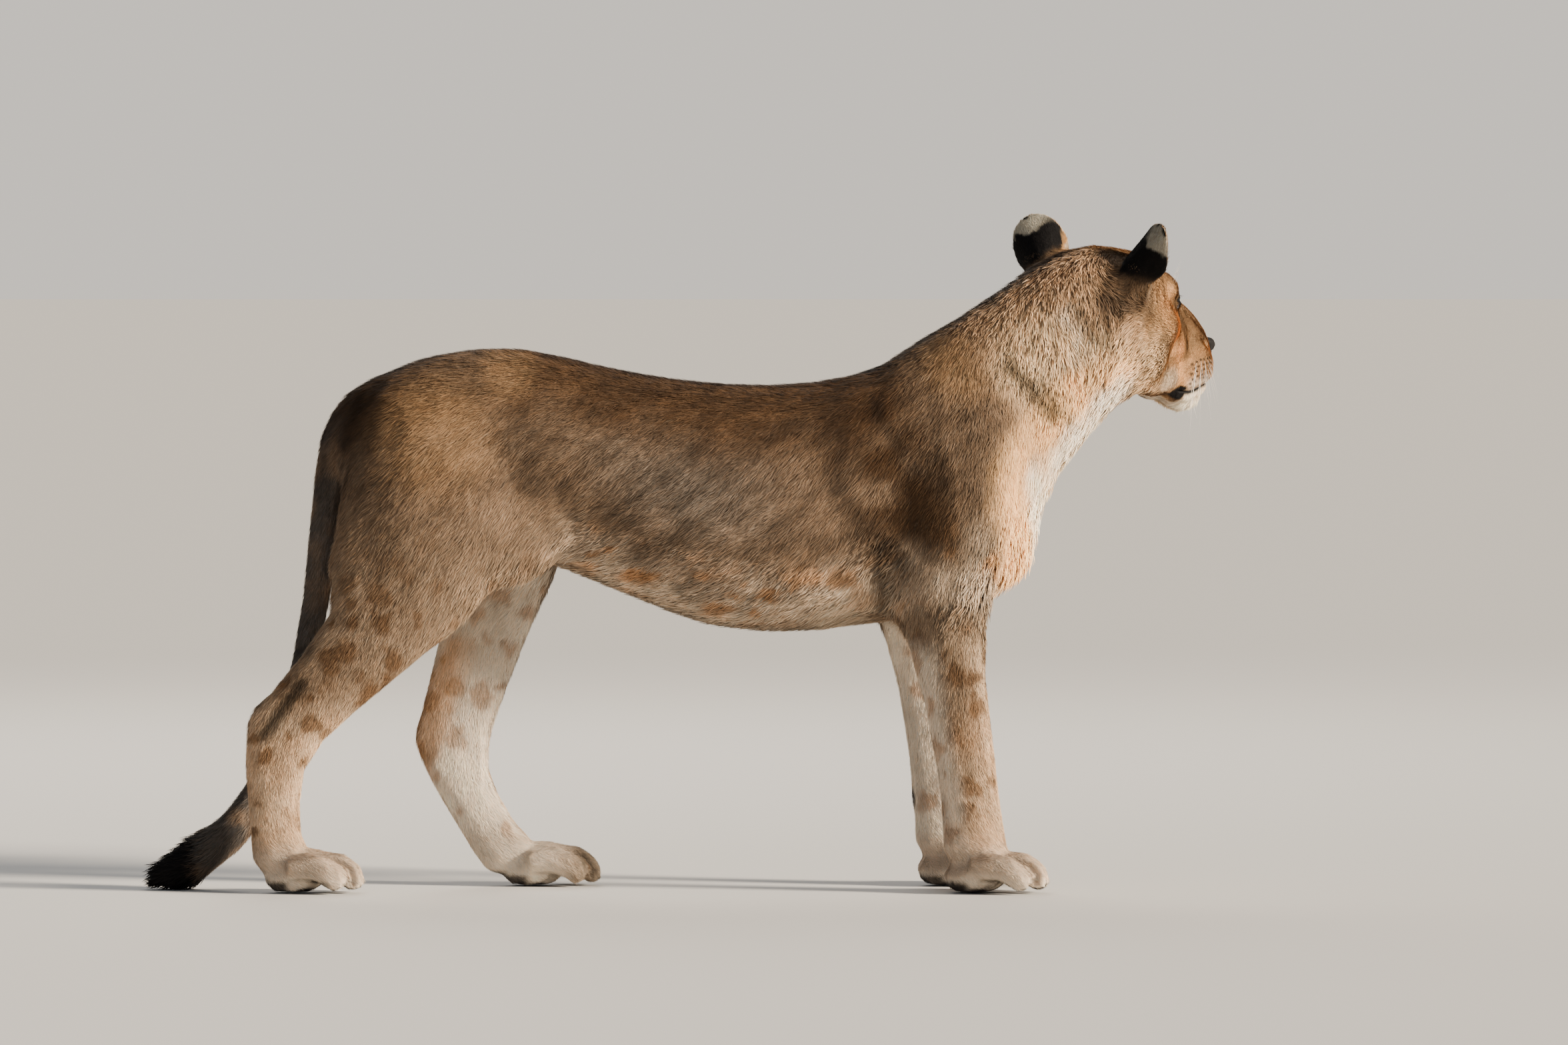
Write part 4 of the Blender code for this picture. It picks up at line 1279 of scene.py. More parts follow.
# ---- how long the coat is, and its lie
def lengths(anatomy: Anatomy, points: Array, normals: Array, ear: Array) -> Array:
    """Length of the hair at each point, from where it lies on the body and head, and the share of ear.

    Args:
        anatomy: where things are on the animal.
        points: places in the frame.
        normals: the hide's normals there.
        ear: 1 on an ear and 0 off it.

    Returns:
        One length for each point.
    """
    body, head = anatomy.body(points), anatomy.head(points)
    x, y, z = body.T
    hair = np.full(len(points), 0.0150)

    def toward(length: float, share: Array) -> None:
        """Brings the length towards a new one by a share."""
        nonlocal hair
        hair = hair + (length - hair) * share

    trunk = fade(z, 0.36, 0.42)
    toward(0.0200, trunk * fade(normals[:, 2], 0.0, -0.6) * fade(x, 0.30, 0.20))  # belly
    fore, hind = fade(x, 0.26, 0.31), fade(x, -0.14, -0.20)
    low = np.maximum(fore, hind) * fade(z, 0.50, 0.34)
    toward(0.0105, low)
    toward(0.0085, low * fade(z, 0.24, 0.12))
    toward(0.0065, fade(z, 0.09, 0.05) * fade(x, -0.70, -0.66))
    toward(0.0040, sum(paw.gaps(body) for paw in PAWS))
    elbow = strip(body[:, [0, 2]], (0.318, 0.52), (0.322, 0.44), 0.035, 0.01)
    toward(0.0250, elbow * fade(z, 0.41, 0.44))
    front = fade(x - 0.9 * (z - 0.55), 0.475, 0.525) * fade(z, 0.40, 0.46)
    toward(0.0300, front)  # chest and throat
    ruff = fade(x + 0.75 * (z - 0.80), 0.50, 0.58) * fade(z, 0.62, 0.72)
    toward(0.0230, ruff * (1 - 0.6 * front))
    off_crest = np.abs(y - np.interp(x, (0.4, 0.65), (0, 0.07)))
    toward(0.0130, fade(normals[:, 2], 0.75, 0.95) * fade(off_crest, 0.05, 0.02) * fade(x, 0.35, 0.45))
    tail = fade(x, -0.52, -0.545) * fade(np.abs(y), 0.055, 0.045) * fade(z - 0.9 * (x + 0.62), 0.02, 0.05)
    toward(0.0120, tail)
    toward(0.0240, fade(x, -0.725, -0.760) * fade(z, 0.13, 0.11))  # tuft of the tail
    on_head = fade(head[:, 0], -0.185, -0.125) * fade(head[:, 2], -0.20, -0.17)
    toward(0.0120, on_head)
    toward(0.0200, on_head * fade(head[:, 2], -0.02, -0.07) * fade(head[:, 0], -0.025, -0.10))  # cheeks
    toward(0.0070, on_head * fade(head[:, 0], -0.08, -0.01))
    toward(0.0042, on_head * fade(head[:, 0], 0.00, 0.055))
    toward(0.0130, on_head * fade(head[:, 2], -0.150, -0.175) * fade(head[:, 0], 0.0, 0.05))  # chin
    high, across = anatomy.in_ear(head)
    inside = fade(normals @ anatomy.head_axes[:, 0], 0.1, 0.5) * fade(np.abs(across), 1.0, 0.6)
    hair = hair + (0.0042 + 0.0060 * inside * fade(high, 0.75, 0.35) - hair) * ear
    return hair


def coat_depth(length: Array) -> Array:
    """How far the hide lies below the tips: a third of the hair's length, and a little for its roots."""
    return 0.0004 + 0.30 * length


@dataclass(frozen=True)
class Lie:
    """The way the hair points on one piece of the body: ahead, outwards from the midline and up."""

    ahead: float
    outward: float
    up: float


LIES = {  # by a node's name, or by its name without the side
    "neck": Lie(0.12, 0.05, -1.0),
    "chest": Lie(-0.9, 0.0, -0.5),
    "belly": Lie(-1.0, 0.0, -0.22),
    "rump": Lie(-1.0, 0.0, -0.35),
    "shoulder": Lie(-0.38, 0.0, -1.0),
    "forearm": Lie(-0.10, 0.0, -1.0),
    "forepaw": Lie(0.80, 0.1, -0.6),
    "thigh_left": Lie(-0.50, 0.0, -1.0),
    "thigh_right": Lie(-0.55, 0.0, -1.0),
    "shank_left": Lie(-0.35, 0.0, -1.0),
    "shank_right": Lie(-0.65, 0.0, -0.8),
    "hind_foot_left": Lie(0.45, 0.0, -0.9),
    "hind_foot_right": Lie(0.0, 0.0, -1.0),
    "hind_paw": Lie(0.80, 0.1, -0.6),
    "tail_root": Lie(-0.08, 0.0, -1.0),
    "tail_middle": Lie(-0.30, 0.0, -1.0),
    "tail_end": Lie(-0.75, 0.0, -0.7),
    "tail_tuft": Lie(-0.95, 0.0, -0.45),
}


class Flow:
    """The lie of the coat over the whole hide, as one direction for each of its points."""

    nose: Place = (0.172, 0.0, -0.072)  # the face's hair streams away from here

    def __init__(self, skin: Skin) -> None:
        """Works the directions out from each point's owner and blurs them into each other.

        Args:
            skin: the finished hide.
        """
        anatomy, hide = skin.anatomy, skin.hide
        body, head = anatomy.body(hide.points), anatomy.head(hide.points)
        side = np.sign(body[:, 1])
        way = np.zeros_like(hide.points)
        for index, name in enumerate(skin.flesh):
            chosen = skin.owner == index
            lie = LIES.get(name) or LIES.get(name.rsplit("_", 1)[0])
            if lie:
                way[chosen] = (lie.ahead, 0, lie.up)
                way[chosen, 1] = lie.outward * side[chosen]
            elif name.startswith("ear"):
                sign = 1 if name.endswith("left") else -1
                way[chosen] = np.array([-0.05, 0.45 * sign, 1.0]) @ anatomy.head_axes.T
            else:
                away = head[chosen] - self.nose
                away[:, 2] += 0.25 * fade(away[:, 2], 0.02, -0.06) * away[:, 0]  # chin and jaw sweep back
                way[chosen] = unit(away) @ anatomy.head_axes.T
        breast = fade(body[:, 0], 0.16, 0.42) * (skin.owner == skin.flesh.index("chest"))
        way = blend(unit(way), np.array([-0.2, 0.0, -1.0]), breast)
        normals = hide.normals()
        way = hide.spread(way, 14)
        self.way = unit(way - normals * np.sum(way * normals, 1, keepdims=True))


# ---- markings
@dataclass(frozen=True)
class Tints:
    """Colours of the coat, as linear shares of light."""

    flank: Colour = (0.165, 0.106, 0.064)
    flank_grey: Colour = (0.160, 0.130, 0.102)
    # dark brown of the saddle, also laid as painted shade over the shoulder and behind the eye
    saddle_and_shade: Colour = (0.058, 0.028, 0.011)
    spine: Colour = (0.018, 0.012, 0.010)
    low_flank: Colour = (0.520, 0.390, 0.270)
    orange: Colour = (0.360, 0.165, 0.058)
    cream: Colour = (0.600, 0.460, 0.320)
    white: Colour = (0.920, 0.790, 0.630)
    leg: Colour = (0.295, 0.200, 0.125)
    leg_low: Colour = (0.760, 0.545, 0.355)
    leg_spot: Colour = (0.110, 0.050, 0.018)
    apricot: Colour = (0.930, 0.560, 0.265)
    neck: Colour = (0.395, 0.240, 0.132)
    ruff: Colour = (0.760, 0.530, 0.310)
    crown: Colour = (0.360, 0.205, 0.095)
    cheek: Colour = (0.700, 0.365, 0.150)
    bridge: Colour = (0.460, 0.310, 0.190)
    muzzle: Colour = (0.480, 0.270, 0.130)
    bridge_side: Colour = (0.270, 0.140, 0.060)
    black: Colour = (0.005, 0.004, 0.004)
    ear_grey: Colour = (0.420, 0.375, 0.290)
    ear_rim: Colour = (0.480, 0.230, 0.070)
    tail: Colour = (0.085, 0.072, 0.062)
    paw: Colour = (0.640, 0.500, 0.370)
    pad: Colour = (0.030, 0.024, 0.022)


TINTS = Tints()
LIT_PATCHES = (  # x, z, reach, share: painted light on high places of the coat that face the light
    (0.440, 0.830, 0.085, 0.58),  # top of the shoulder blade
    (-0.380, 0.710, 0.130, 0.45),  # rump
    (-0.262, 0.812, 0.060, 0.35),  # hip bone
)
CARPAL_PADS = (((0.393, -0.092, 0.090), 0.017), ((0.352, 0.088, 0.140), 0.022))  # middle, reach
CHEEK_STREAKS = (  # tint, share, line
    (TINTS.cheek, 0.80, Line((-0.060, 0.075, -0.005), (0.004, 0.062, -0.075), 0.060, 0.01)),
    # a dark band behind the eye: painted shade on the side of the face
    (TINTS.saddle_and_shade, 0.60, Line((-0.010, 0.062, 0.012), (0.006, 0.060, -0.050), 0.026, 0.004)),
    (TINTS.cream, 0.55, Line((-0.052, 0.086, -0.030), (-0.034, 0.078, -0.090), 0.016, 0.005)),
    (TINTS.cheek, 0.75, Line((0.010, 0.060, -0.070), (0.024, 0.058, -0.118), 0.034, 0.008)),
)
EYE_STREAKS = (
    (TINTS.cream, 0.45, Line((0.014, 0.046, -0.026), (-0.012, 0.064, -0.022), 0.017, 0.004)),  # under it
    (TINTS.cream, 0.55, Line((0.004, 0.042, 0.026), (-0.014, 0.056, 0.032), 0.017, 0.004)),  # over it
    (TINTS.saddle_and_shade, 0.70, Line((0.010, 0.042, -0.006), (0.032, 0.049, -0.085), 0.016, 0.006)),  # tear line
    (TINTS.black, 0.80, Line((0.014, 0.037, -0.008), (0.036, 0.043, -0.058), 0.0085, 0.003)),
    (TINTS.spine, 0.55, Line((0.030, 0.040, -0.030), (0.036, 0.043, -0.062), 0.010, 0.002)),
)
BRIDGE_SIDE = Line((0.118, 0.026, -0.074), (0.036, 0.036, -0.030), 0.016, 0.005)
MUZZLE = Line((0.064, 0.038, -0.114), (0.114, 0.020, -0.112), 0.044, 0.026)
BEHIND_MUZZLE = Line((-0.006, 0.056, -0.118), (-0.030, 0.064, -0.118), 0.028, 0.008)
MOUTH_CORNER = Line((0.014, 0.048, -0.150), (0.030, 0.044, -0.146), 0.0150, 0.0110)
EAR_SKIRT = Line((-0.176, 0.088, 0.050), (-0.166, 0.116, 0.040), 0.052, 0.030)
BELOW_EAR = Line((-0.130, 0.112, 0.012), (-0.120, 0.112, -0.004), 0.026, 0.010)
WHISKER_ROWS, WHISKER_COLUMNS = 5, 6


class Wash:
    """The colours of some points, with tints laid over them one after the other."""

    def __init__(self, colour: Colour, count: int) -> None:
        """Starts with one colour for this many points."""
        self.colour = np.tile(colour, (count, 1))

    def lay(self, tint: Colour | Array, share: Array) -> None:
        """Lays a tint over the colours, by its share at each point."""
        self.colour = blend(self.colour, tint, share)

    def scale(self, factor: Array) -> None:
        """Makes the colours lighter or darker by a factor at each point."""
        self.colour = self.colour * factor[:, None]


class Markings:
    """The coat's colour at any place, by formula, for skin and tufts alike."""

    def __init__(self, anatomy: Anatomy, face: Face) -> None:
        """Keeps the landmarks that the formulas measure from."""
        self.anatomy, self.face = anatomy, face

    def paint(self, points: Array, normals: Array, tail: Array, ear: Array) -> Array:
        """Colours of points on the hide.

        Args:
            points: places in the frame.
            normals: the hide's normals there.
            tail: 1 on the tail and 0 off it.
            ear: 1 on an ear and 0 off it.

        Returns:
            One colour for each point.
        """
        body, head = self.anatomy.body(points), self.anatomy.head(points)
        coat = Wash(TINTS.flank, len(points))
        self._trunk(coat, body, normals)
        self._legs(coat, body, normals)
        self._neck(coat, body, head, normals)
        self._head(coat, head)
        self._ears(coat, head, normals @ self.anatomy.head_axes, ear)
        self._tail(coat, body, tail)
        # painted shade in the creases, by each fold's dark share
        for fold in FOLDS:
            if fold.dark:
                coat.scale(1 - fold.dark * fold.mask(body, normals))
        fine, middling, broad = noise(points, 0.011, 21), noise(points, 0.027, 22), noise(points, 0.08, 23)
        coat.scale(1 + 0.08 * fine + 0.13 * middling + 0.12 * broad)
        return coat.colour

    def _trunk(self, coat: Wash, body: Array, normals: Array) -> None:
        """Dark spine, a brown saddle that is partly painted shade, grey-tan flanks, orange-spotted lower
        flanks and a cream belly, with painted light on high places and painted shade over the shoulder and
        low on the trunk.

        Args:
            coat: the colours so far, which it changes.
            body: places from the midline.
            normals: the hide's normals there.
        """
        x, y, z = body.T
        back, belly = np.interp(x, *BACK_LINE), np.interp(x, *BELLY_LINE)
        high = (z - belly) / (back - belly)
        coat.lay(TINTS.flank_grey, 0.65 * bump(x, 0.02, 0.24) * bump(high, 0.56, 0.34))
        coat.lay(TINTS.flank, 0.5 * fade(noise(body, 0.09, 5), 0.0, 0.8))
        # the darker saddle on the upper back: partly the coat's own darker hair, partly painted shade
        saddle_and_shade = fade(high + 0.06 * noise(body, 0.05, 6), 0.56, 0.86) * fade(x, 0.40, 0.30)
        coat.lay(TINTS.saddle_and_shade, 0.90 * saddle_and_shade)
        ahead_of_thigh = fade(x, -0.24, -0.12)
        low = fade(high + 0.05 * noise(body, 0.05, 7), 0.34, 0.10) * ahead_of_thigh
        coat.lay(TINTS.low_flank, low)
        side_spots = spots(body * (0.8, 1, 1.15), 0.050, 31, 0.42) * bump(high, 0.15, 0.20) * ahead_of_thigh
        coat.lay(TINTS.orange, 0.80 * side_spots)
        along, over = x * 0.82 + z * 0.57, z * 0.82 - x * 0.57
        streaks = noise(np.stack([along * 0.30, y, over], 1), 0.0105, 32)
        streaks = streaks + 0.8 * noise(np.stack([along * 0.4, y, over], 1), 0.024, 33)
        coat.scale(1 + 0.34 * streaks)
        under = fade(normals[:, 2], -0.75, -0.95) + 0.6 * fade(high, 0.015, -0.02)
        # painted shade low on the trunk, darkest at the belly's line
        coat.scale(1 - 0.72 * fade(high, 0.085, 0.015) * ahead_of_thigh)
        coat.lay(TINTS.cream, 0.25 * np.clip(under, 0, 1) * fade(z, 0.60, 0.52) * ahead_of_thigh)
        # painted shade over the shoulder, behind the lit top of the blade
        blade = strip(body[:, [0, 2]], (0.300, 0.700), (0.380, 0.560), 0.110, 0.030)
        coat.lay(TINTS.saddle_and_shade, 0.86 * blade * fade(noise(body, 0.045, 9), -0.7, 0.3))
        elbow = strip(body[:, [0, 2]], (0.245, 0.435), (0.300, 0.460), 0.050, 0.015)
        coat.lay(TINTS.cream, 0.55 * elbow)
        coat.lay(TINTS.flank, 0.55 * bump(x, -0.34, 0.16) * fade(high, 0.70, 0.85))
        # painted light on the lit high places: top of the blade, rump and hip bone
        for ahead, up, reach, share in LIT_PATCHES:
            coat.lay(TINTS.crown, share * fade(np.hypot(x - ahead, z - up), reach, 0.3 * reach))
        spine = fade(np.abs(y), 0.034, 0.010) * fade(normals[:, 2], 0.80, 0.95)
        coat.lay(TINTS.spine, 0.75 * spine)
        front = x - np.interp(z, *CHEST_EDGE) + 0.010 * noise(body, 0.04, 8)
        coat.lay(TINTS.apricot, fade(front, -0.020, 0.025) * fade(z, 0.40, 0.46))
        coat.lay(TINTS.white, fade(front, 0.042, 0.072) * fade(z, 0.40, 0.44))

    def _legs(self, coat: Wash, body: Array, normals: Array) -> None:
        """Tan legs with brown rosettes outside, near-white inside, painted light on the forelegs' fronts and
        the far hind paw, and pale paws with painted shade between the toes and dark pads.

        Args:
            coat: the colours so far, which it changes.
            body: places from the midline.
            normals: the hide's normals there.
        """
        x, y, z = body.T
        side = np.sign(y)
        fore, hind = fade(x, 0.27, 0.33), fade(x, -0.16, -0.24)
        low = fore * fade(z, 0.56, 0.36) + hind * fade(z, 0.66, 0.40)
        coat.lay(TINTS.leg, np.clip(low, 0, 1))
        coat.lay(TINTS.leg_low, np.maximum(fore * fade(z, 0.28, 0.12), hind * fade(z, 0.34, 0.22)))
        # painted light on the forelegs' low faces that look ahead, towards the light
        coat.lay(TINTS.leg_low, 0.6 * fore * fade(z, 0.42, 0.36) * fade(normals[:, 0], 0.2, 0.8))
        rosettes = spots(body, 0.040, 41, 0.43)
        crowd = fore * fade(z, 0.50, 0.38) * fade(z, 0.03, 0.09)
        crowd = crowd + hind * fade(z, 0.60, 0.42) * fade(z, 0.04, 0.10)
        coat.lay(TINTS.leg_spot, 0.75 * rosettes * np.clip(crowd, 0, 1))
        orange = np.clip(low, 0, 1) * fade(z, 0.40, 0.20) * (0.25 + 0.25 * noise(body, 0.03, 42))
        coat.lay(TINTS.orange, orange)
        below_trunk = np.clip(fore * fade(z, 0.45, 0.38) + hind * fade(z, 0.60, 0.48), 0, 1)
        inner = fade(normals[:, 1] * side, 0.05, -0.45) * below_trunk
        rear = fade(normals[:, 0], 0.0, -0.6) * fore * fade(z, 0.42, 0.36)
        pale = np.clip(inner + 0.75 * rear, 0, 1)
        faint = spots(body, 0.050, 47, 0.33)
        inside = Wash(TINTS.white, len(body))
        inside.lay(TINTS.orange, 0.55 * faint)
        coat.lay(inside.colour, 0.93 * pale)
        left_hock = to_segment(body[:, [0, 2]], (-0.345, 0.37), (-0.415, 0.215))
        ochre = hind * fade(left_hock, 0.040, 0.018) * fade(side, -0.5, 0.5)
        ochre = ochre * fade(normals[:, 0], 0.15, -0.35)
        coat.lay(TINTS.cheek, 0.60 * ochre)
        coat.lay(TINTS.leg_spot, 0.30 * ochre * fade(z, 0.24, 0.19))
        paw = np.maximum(fore, hind) * fade(z, 0.095, 0.050) * fade(x, -0.70, -0.66)
        coat.lay(TINTS.paw, paw)
        top = paw * fade(normals[:, 2], 0.55, 0.9) * spots(body, 0.030, 53, 0.40)
        coat.lay(TINTS.leg_spot, 0.45 * top)
        coat.lay(TINTS.white, 0.8 * paw * fade(normals[:, 2], 0.3, -0.2) * fade(z, 0.045, 0.015))
        # painted light: the far hind paw made whiter
        far_paw_light = paw * fade(side, -0.5, 0.5) * fade(x, 0.1, 0.0)
        coat.lay(TINTS.white, 0.85 * far_paw_light)
        for foot in PAWS:
            # painted shade in the grooves between the toes
            coat.lay(TINTS.leg_spot, 0.80 * foot.gaps(body))
            coat.lay(TINTS.pad, np.maximum(0.90 * foot.heel(body), 0.85 * foot.claws(body)))
        for place, reach in CARPAL_PADS:
            off = np.linalg.norm(body - place, axis=1)
            coat.lay(TINTS.pad, 0.9 * fade(off, reach, 0.55 * reach))
        sole = np.maximum(fore, hind) * fade(normals[:, 2], -0.55, -0.85) * fade(z, 0.030, 0.018)
        coat.lay(TINTS.pad, sole)

    def _neck(self, coat: Wash, body: Array, head: Array, normals: Array) -> None:
        """Brown neck with a dark crest, a cream and grey ruff, and an orange patch over a white throat.

        Args:
            coat: the colours so far, which it changes.
            body: places from the midline.
            head: places in the head's axes.
            normals: the hide's normals there.
        """
        x, y, z = body.T
        neck = fade(x + 0.62 * (z - 0.77), 0.47, 0.53) * fade(head[:, 0], -0.11, -0.15)
        coat.lay(TINTS.neck, neck * fade(z - 0.9 * (x - 0.55), 0.62, 0.70))
        ruff = neck * strip(body[:, [0, 2]], (0.560, 0.830), (0.640, 0.800), 0.105, 0.045)
        coat.lay(TINTS.ruff, ruff * (0.75 + 0.25 * noise(body * (1, 1, 0.45), 0.016, 61)))
        streak = fade(noise(body * (1.0, 1.0, 0.35), 0.012, 62), 0.15, 0.75)
        coat.lay(TINTS.saddle_and_shade, 0.45 * ruff * streak)
        pale_lock = strip(body[:, [0, 2]], (0.596, 0.900), (0.640, 0.812), 0.036, 0.010)
        pale_lock = pale_lock * fade(noise(body * (1.0, 1.0, 0.4), 0.011, 67), -0.6, 0.3)
        pale_lock = pale_lock * fade(normals[:, 1], 0.0, -0.4)
        coat.lay(TINTS.cream, 0.70 * neck * pale_lock)
        throat = x - np.interp(z, *CHEST_EDGE) + 0.012 * noise(body, 0.03, 64)
        coat.lay(TINTS.apricot, 0.9 * neck * fade(throat, -0.010, 0.030) * fade(z, 0.88, 0.80))
        coat.lay(TINTS.white, neck * fade(throat, 0.070, 0.105) * fade(z, 0.83, 0.78))
        middle = np.interp(x, (0.40, 0.50, 0.60, 0.66), (0.0, 0.006, 0.040, 0.075))
        crest = fade(np.abs(y - middle), 0.030, 0.008) * fade(normals[:, 2], 0.55, 0.80) * fade(x, 0.32, 0.42)
        coat.lay(TINTS.spine, 0.80 * crest * fade(head[:, 0], -0.06, -0.13))

    def _head(self, coat: Wash, head: Array) -> None:
        """Brown crown, orange cheeks, dark tear lines, pale muzzle and chin, and black lips and lids.

        Args:
            coat: the colours so far, which it changes.
            head: places in the head's axes.
        """
        ahead, left, up = head.T
        side = np.abs(left)
        flat = mirrored(head)
        face = Wash(TINTS.crown, len(head))
        rear = fade(ahead, -0.02, -0.10)
        face.lay(TINTS.ruff, 0.55 * fade(up, -0.015, -0.075) * rear)
        streak = fade(noise(head * (0.4, 1.0, 1.0), 0.012, 63), 0.1, 0.8)
        face.lay(TINTS.saddle_and_shade, 0.45 * streak * rear)
        for tint, share, line in CHEEK_STREAKS:
            face.lay(tint, share * line.on(flat))
        brindle = noise(head * (1.0, 1.0, 0.45), 0.0065, 65) + 0.8 * noise(head * (1.0, 1.0, 0.6), 0.016, 66)
        face.scale(1 + 0.26 * brindle * fade(ahead, 0.075, 0.055))
        bridge = fade(side, 0.037, 0.013) * fade(ahead, 0.00, 0.03) * fade(up, -0.095, -0.080)
        face.lay(TINTS.bridge, bridge)
        face.lay(TINTS.bridge_side, 0.70 * BRIDGE_SIDE.on(flat))
        muzzle = MUZZLE.on(flat)
        face.lay(TINTS.cheek, 0.60 * muzzle * fade(up, -0.104, -0.080))
        face.lay(TINTS.muzzle, 0.90 * muzzle * fade(up, -0.090, -0.106))
        face.lay(TINTS.white, 0.60 * muzzle * fade(up, -0.118, -0.136))
        face.lay(TINTS.white, 0.5 * muzzle * fade(ahead, 0.105, 0.125) * fade(up, -0.095, -0.108))
        face.lay(TINTS.cream, 0.90 * BEHIND_MUZZLE.on(flat))
        self._whisker_spots(face, head)
        chin = fade(up, -0.143, -0.150) * fade(ahead, 0.030, 0.050)
        face.lay(TINTS.white, chin)
        jaw = fade(up, -0.128, -0.146) * fade(ahead, 0.034, 0.010)
        face.lay(TINTS.leg_spot, 0.75 * jaw * fade(side, 0.020, 0.040))
        face.lay(TINTS.white, fade(up, -0.140, -0.155) * fade(side, 0.030, 0.016))
        for tint, share, line in EYE_STREAKS:
            face.lay(tint, share * line.on(flat))
        for lids in self.face.lids:
            inside, far = lids.opening(head)
            face.lay(TINTS.black, fade(inside, -0.0046, -0.0022) * fade(far, 0.031, 0.025))
        above, lip = self.face.lip_line(head), self.face.lip_share(head)
        face.lay(TINTS.black, lip * fade(np.abs(above + 0.001), 0.0034, 0.0018))
        face.lay(TINTS.black, MOUTH_CORNER.on(flat))
        philtrum = fade(ahead, 0.11, 0.124) * fade(side, 0.0035, 0.0015) * fade(up, -0.085, -0.10)
        face.lay(TINTS.black, philtrum * fade(above, -0.002, 0.002))
        coat.lay(face.colour, fade(ahead, -0.165, -0.125) * fade(up, -0.200, -0.185))

    def _whisker_spots(self, face: Wash, head: Array) -> None:
        """Rows of small dark spots on the muzzle, each a little out of line.

        Args:
            face: the colours so far, which it changes.
            head: places in the head's axes.
        """
        for row, column in np.ndindex(WHISKER_ROWS, WHISKER_COLUMNS):
            stray = hashed(np.array([[row, column, 0], [row, column, 1]]), 64) - 0.5
            ahead = 0.046 + 0.0105 * column + 0.0045 * (row % 2) + 0.005 * stray[0]
            up = -0.097 - 0.0075 * row - 0.0006 * (column - 3) ** 2 + 0.003 * stray[1]
            off = to_segment(head[:, [0, 2]], (ahead, up), (ahead - 0.0030, up + 0.0006))
            spot = fade(off, 0.0026, 0.0008) * fade(np.abs(head[:, 1]), 0.016, 0.026)
            face.lay(TINTS.spine, 0.85 * spot)

    def _ears(self, coat: Wash, head: Array, normals: Array, ear: Array) -> None:
        """Black backs with a pale band under a black tip, tan rims, and cream insides with painted shade deep
        in the hollow.

        Args:
            coat: the colours so far, which it changes.
            head: places in the head's axes.
            normals: the hide's normals there.
            ear: 1 on an ear and 0 off it.
        """
        high, across = self.anatomy.in_ear(head)
        behind = fade(normals[:, 0], 0.22, -0.12)
        back = Wash(TINTS.black, len(head))
        ragged = high + 0.10 * noise(head, 0.009, 71)
        right = head[:, 1] < 0
        band = fade(ragged, 0.36 + 0.08 * ~right, 0.46 + 0.08 * ~right)
        band = band * np.maximum(fade(ragged, 0.88, 0.80), ~right * fade(np.abs(across), 0.20, 0.36))
        back.lay(TINTS.ear_grey, band * fade(np.abs(across - 0.12), 0.95, 0.65))
        tone = Wash(TINTS.cream, len(head))
        tone.lay(TINTS.ruff, 0.6 * fade(noise(head, 0.012, 72), -0.3, 0.6))
        # painted shade deep in the cup of the ear
        hollow_shade = fade(np.hypot(across - 0.12, (high + 0.12) * 0.75), 0.78, 0.25)
        tone.lay(TINTS.spine, 0.85 * hollow_shade)
        tone.lay(back.colour, behind)
        rim = bump(behind, 0.52, 0.46) * fade(high, -0.9, -0.3)
        tone.lay(TINTS.ear_rim, 0.9 * rim)
        flat = mirrored(head)
        skirt = EAR_SKIRT.on(flat)
        coat.lay(TINTS.black, 0.92 * skirt * fade(normals[:, 0], 0.35, 0.0) * (1 - ear))
        coat.lay(TINTS.saddle_and_shade, 0.6 * BELOW_EAR.on(flat))
        coat.lay(tone.colour, ear)

    def _tail(self, coat: Wash, body: Array, tail: Array) -> None:
        """A grey-brown tail, mottled with the neck's brown, that ends in a black tuft.

        Args:
            coat: the colours so far, which it changes.
            body: places from the midline.
            tail: 1 on the tail and 0 off it.
        """
        tone = Wash(TINTS.tail, len(body))
        tone.lay(TINTS.neck, 0.35 * fade(noise(body, 0.03, 81), -0.2, 0.8))
        tone.lay(TINTS.black, fade(body[:, 0], -0.735, -0.765))
        coat.lay(tone.colour, tail * fade(body[:, 2], 0.79, 0.74))


# ---- the coat
FAMILIES = {  # how the names start of the solids that each family of coat pieces grows on
    "head": ("head", "lower_jaw", "ear"),
    "neck": ("neck",),
    "chest": ("chest",),
    "shoulder": ("shoulder",),
    "belly": ("belly",),
    "rump": ("rump",),
    "thigh": ("thigh",),
    "shank": ("shank", "hind_foot"),
    "foreleg": ("forearm",),
    "paws": ("forepaw", "hind_paw"),
    "tail": ("tail",),
}


@dataclass
class Unwrap:
    """Where each solid's stretch of hide lies on one square: turned round its own axis, in its own cell."""

    skin: Skin
    cells: int = 5
    gap: float = 0.004

    def places(self, points: Array, owner: Array) -> Array:
        """UV places: turn about the solid's longest side across the cell, distance along it upwards.

        Args:
            points: places in the frame.
            owner: index of the solid that each belongs to.

        Returns:
            A pair for each point.
        """
        found = np.zeros((len(points), 2))
        for index, name in enumerate(self.skin.flesh):
            chosen = owner == index
            low, high = (np.array(corner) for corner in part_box(name))
            middle, size = (low + high) / 2, high - low
            axis = int(np.argmax(size))
            across, up = [k for k in range(3) if k != axis]
            off = points[chosen] - middle
            turn = np.arctan2(off[:, up], off[:, across]) / math.tau + 0.5
            along = np.clip(off[:, axis] / size[axis] + 0.5, 0, 1)
            corner = np.array([index % self.cells, index // self.cells]) / self.cells
            room = 1 / self.cells - 2 * self.gap
            found[chosen] = corner + self.gap + np.stack([turn, along], 1) * room
        return found


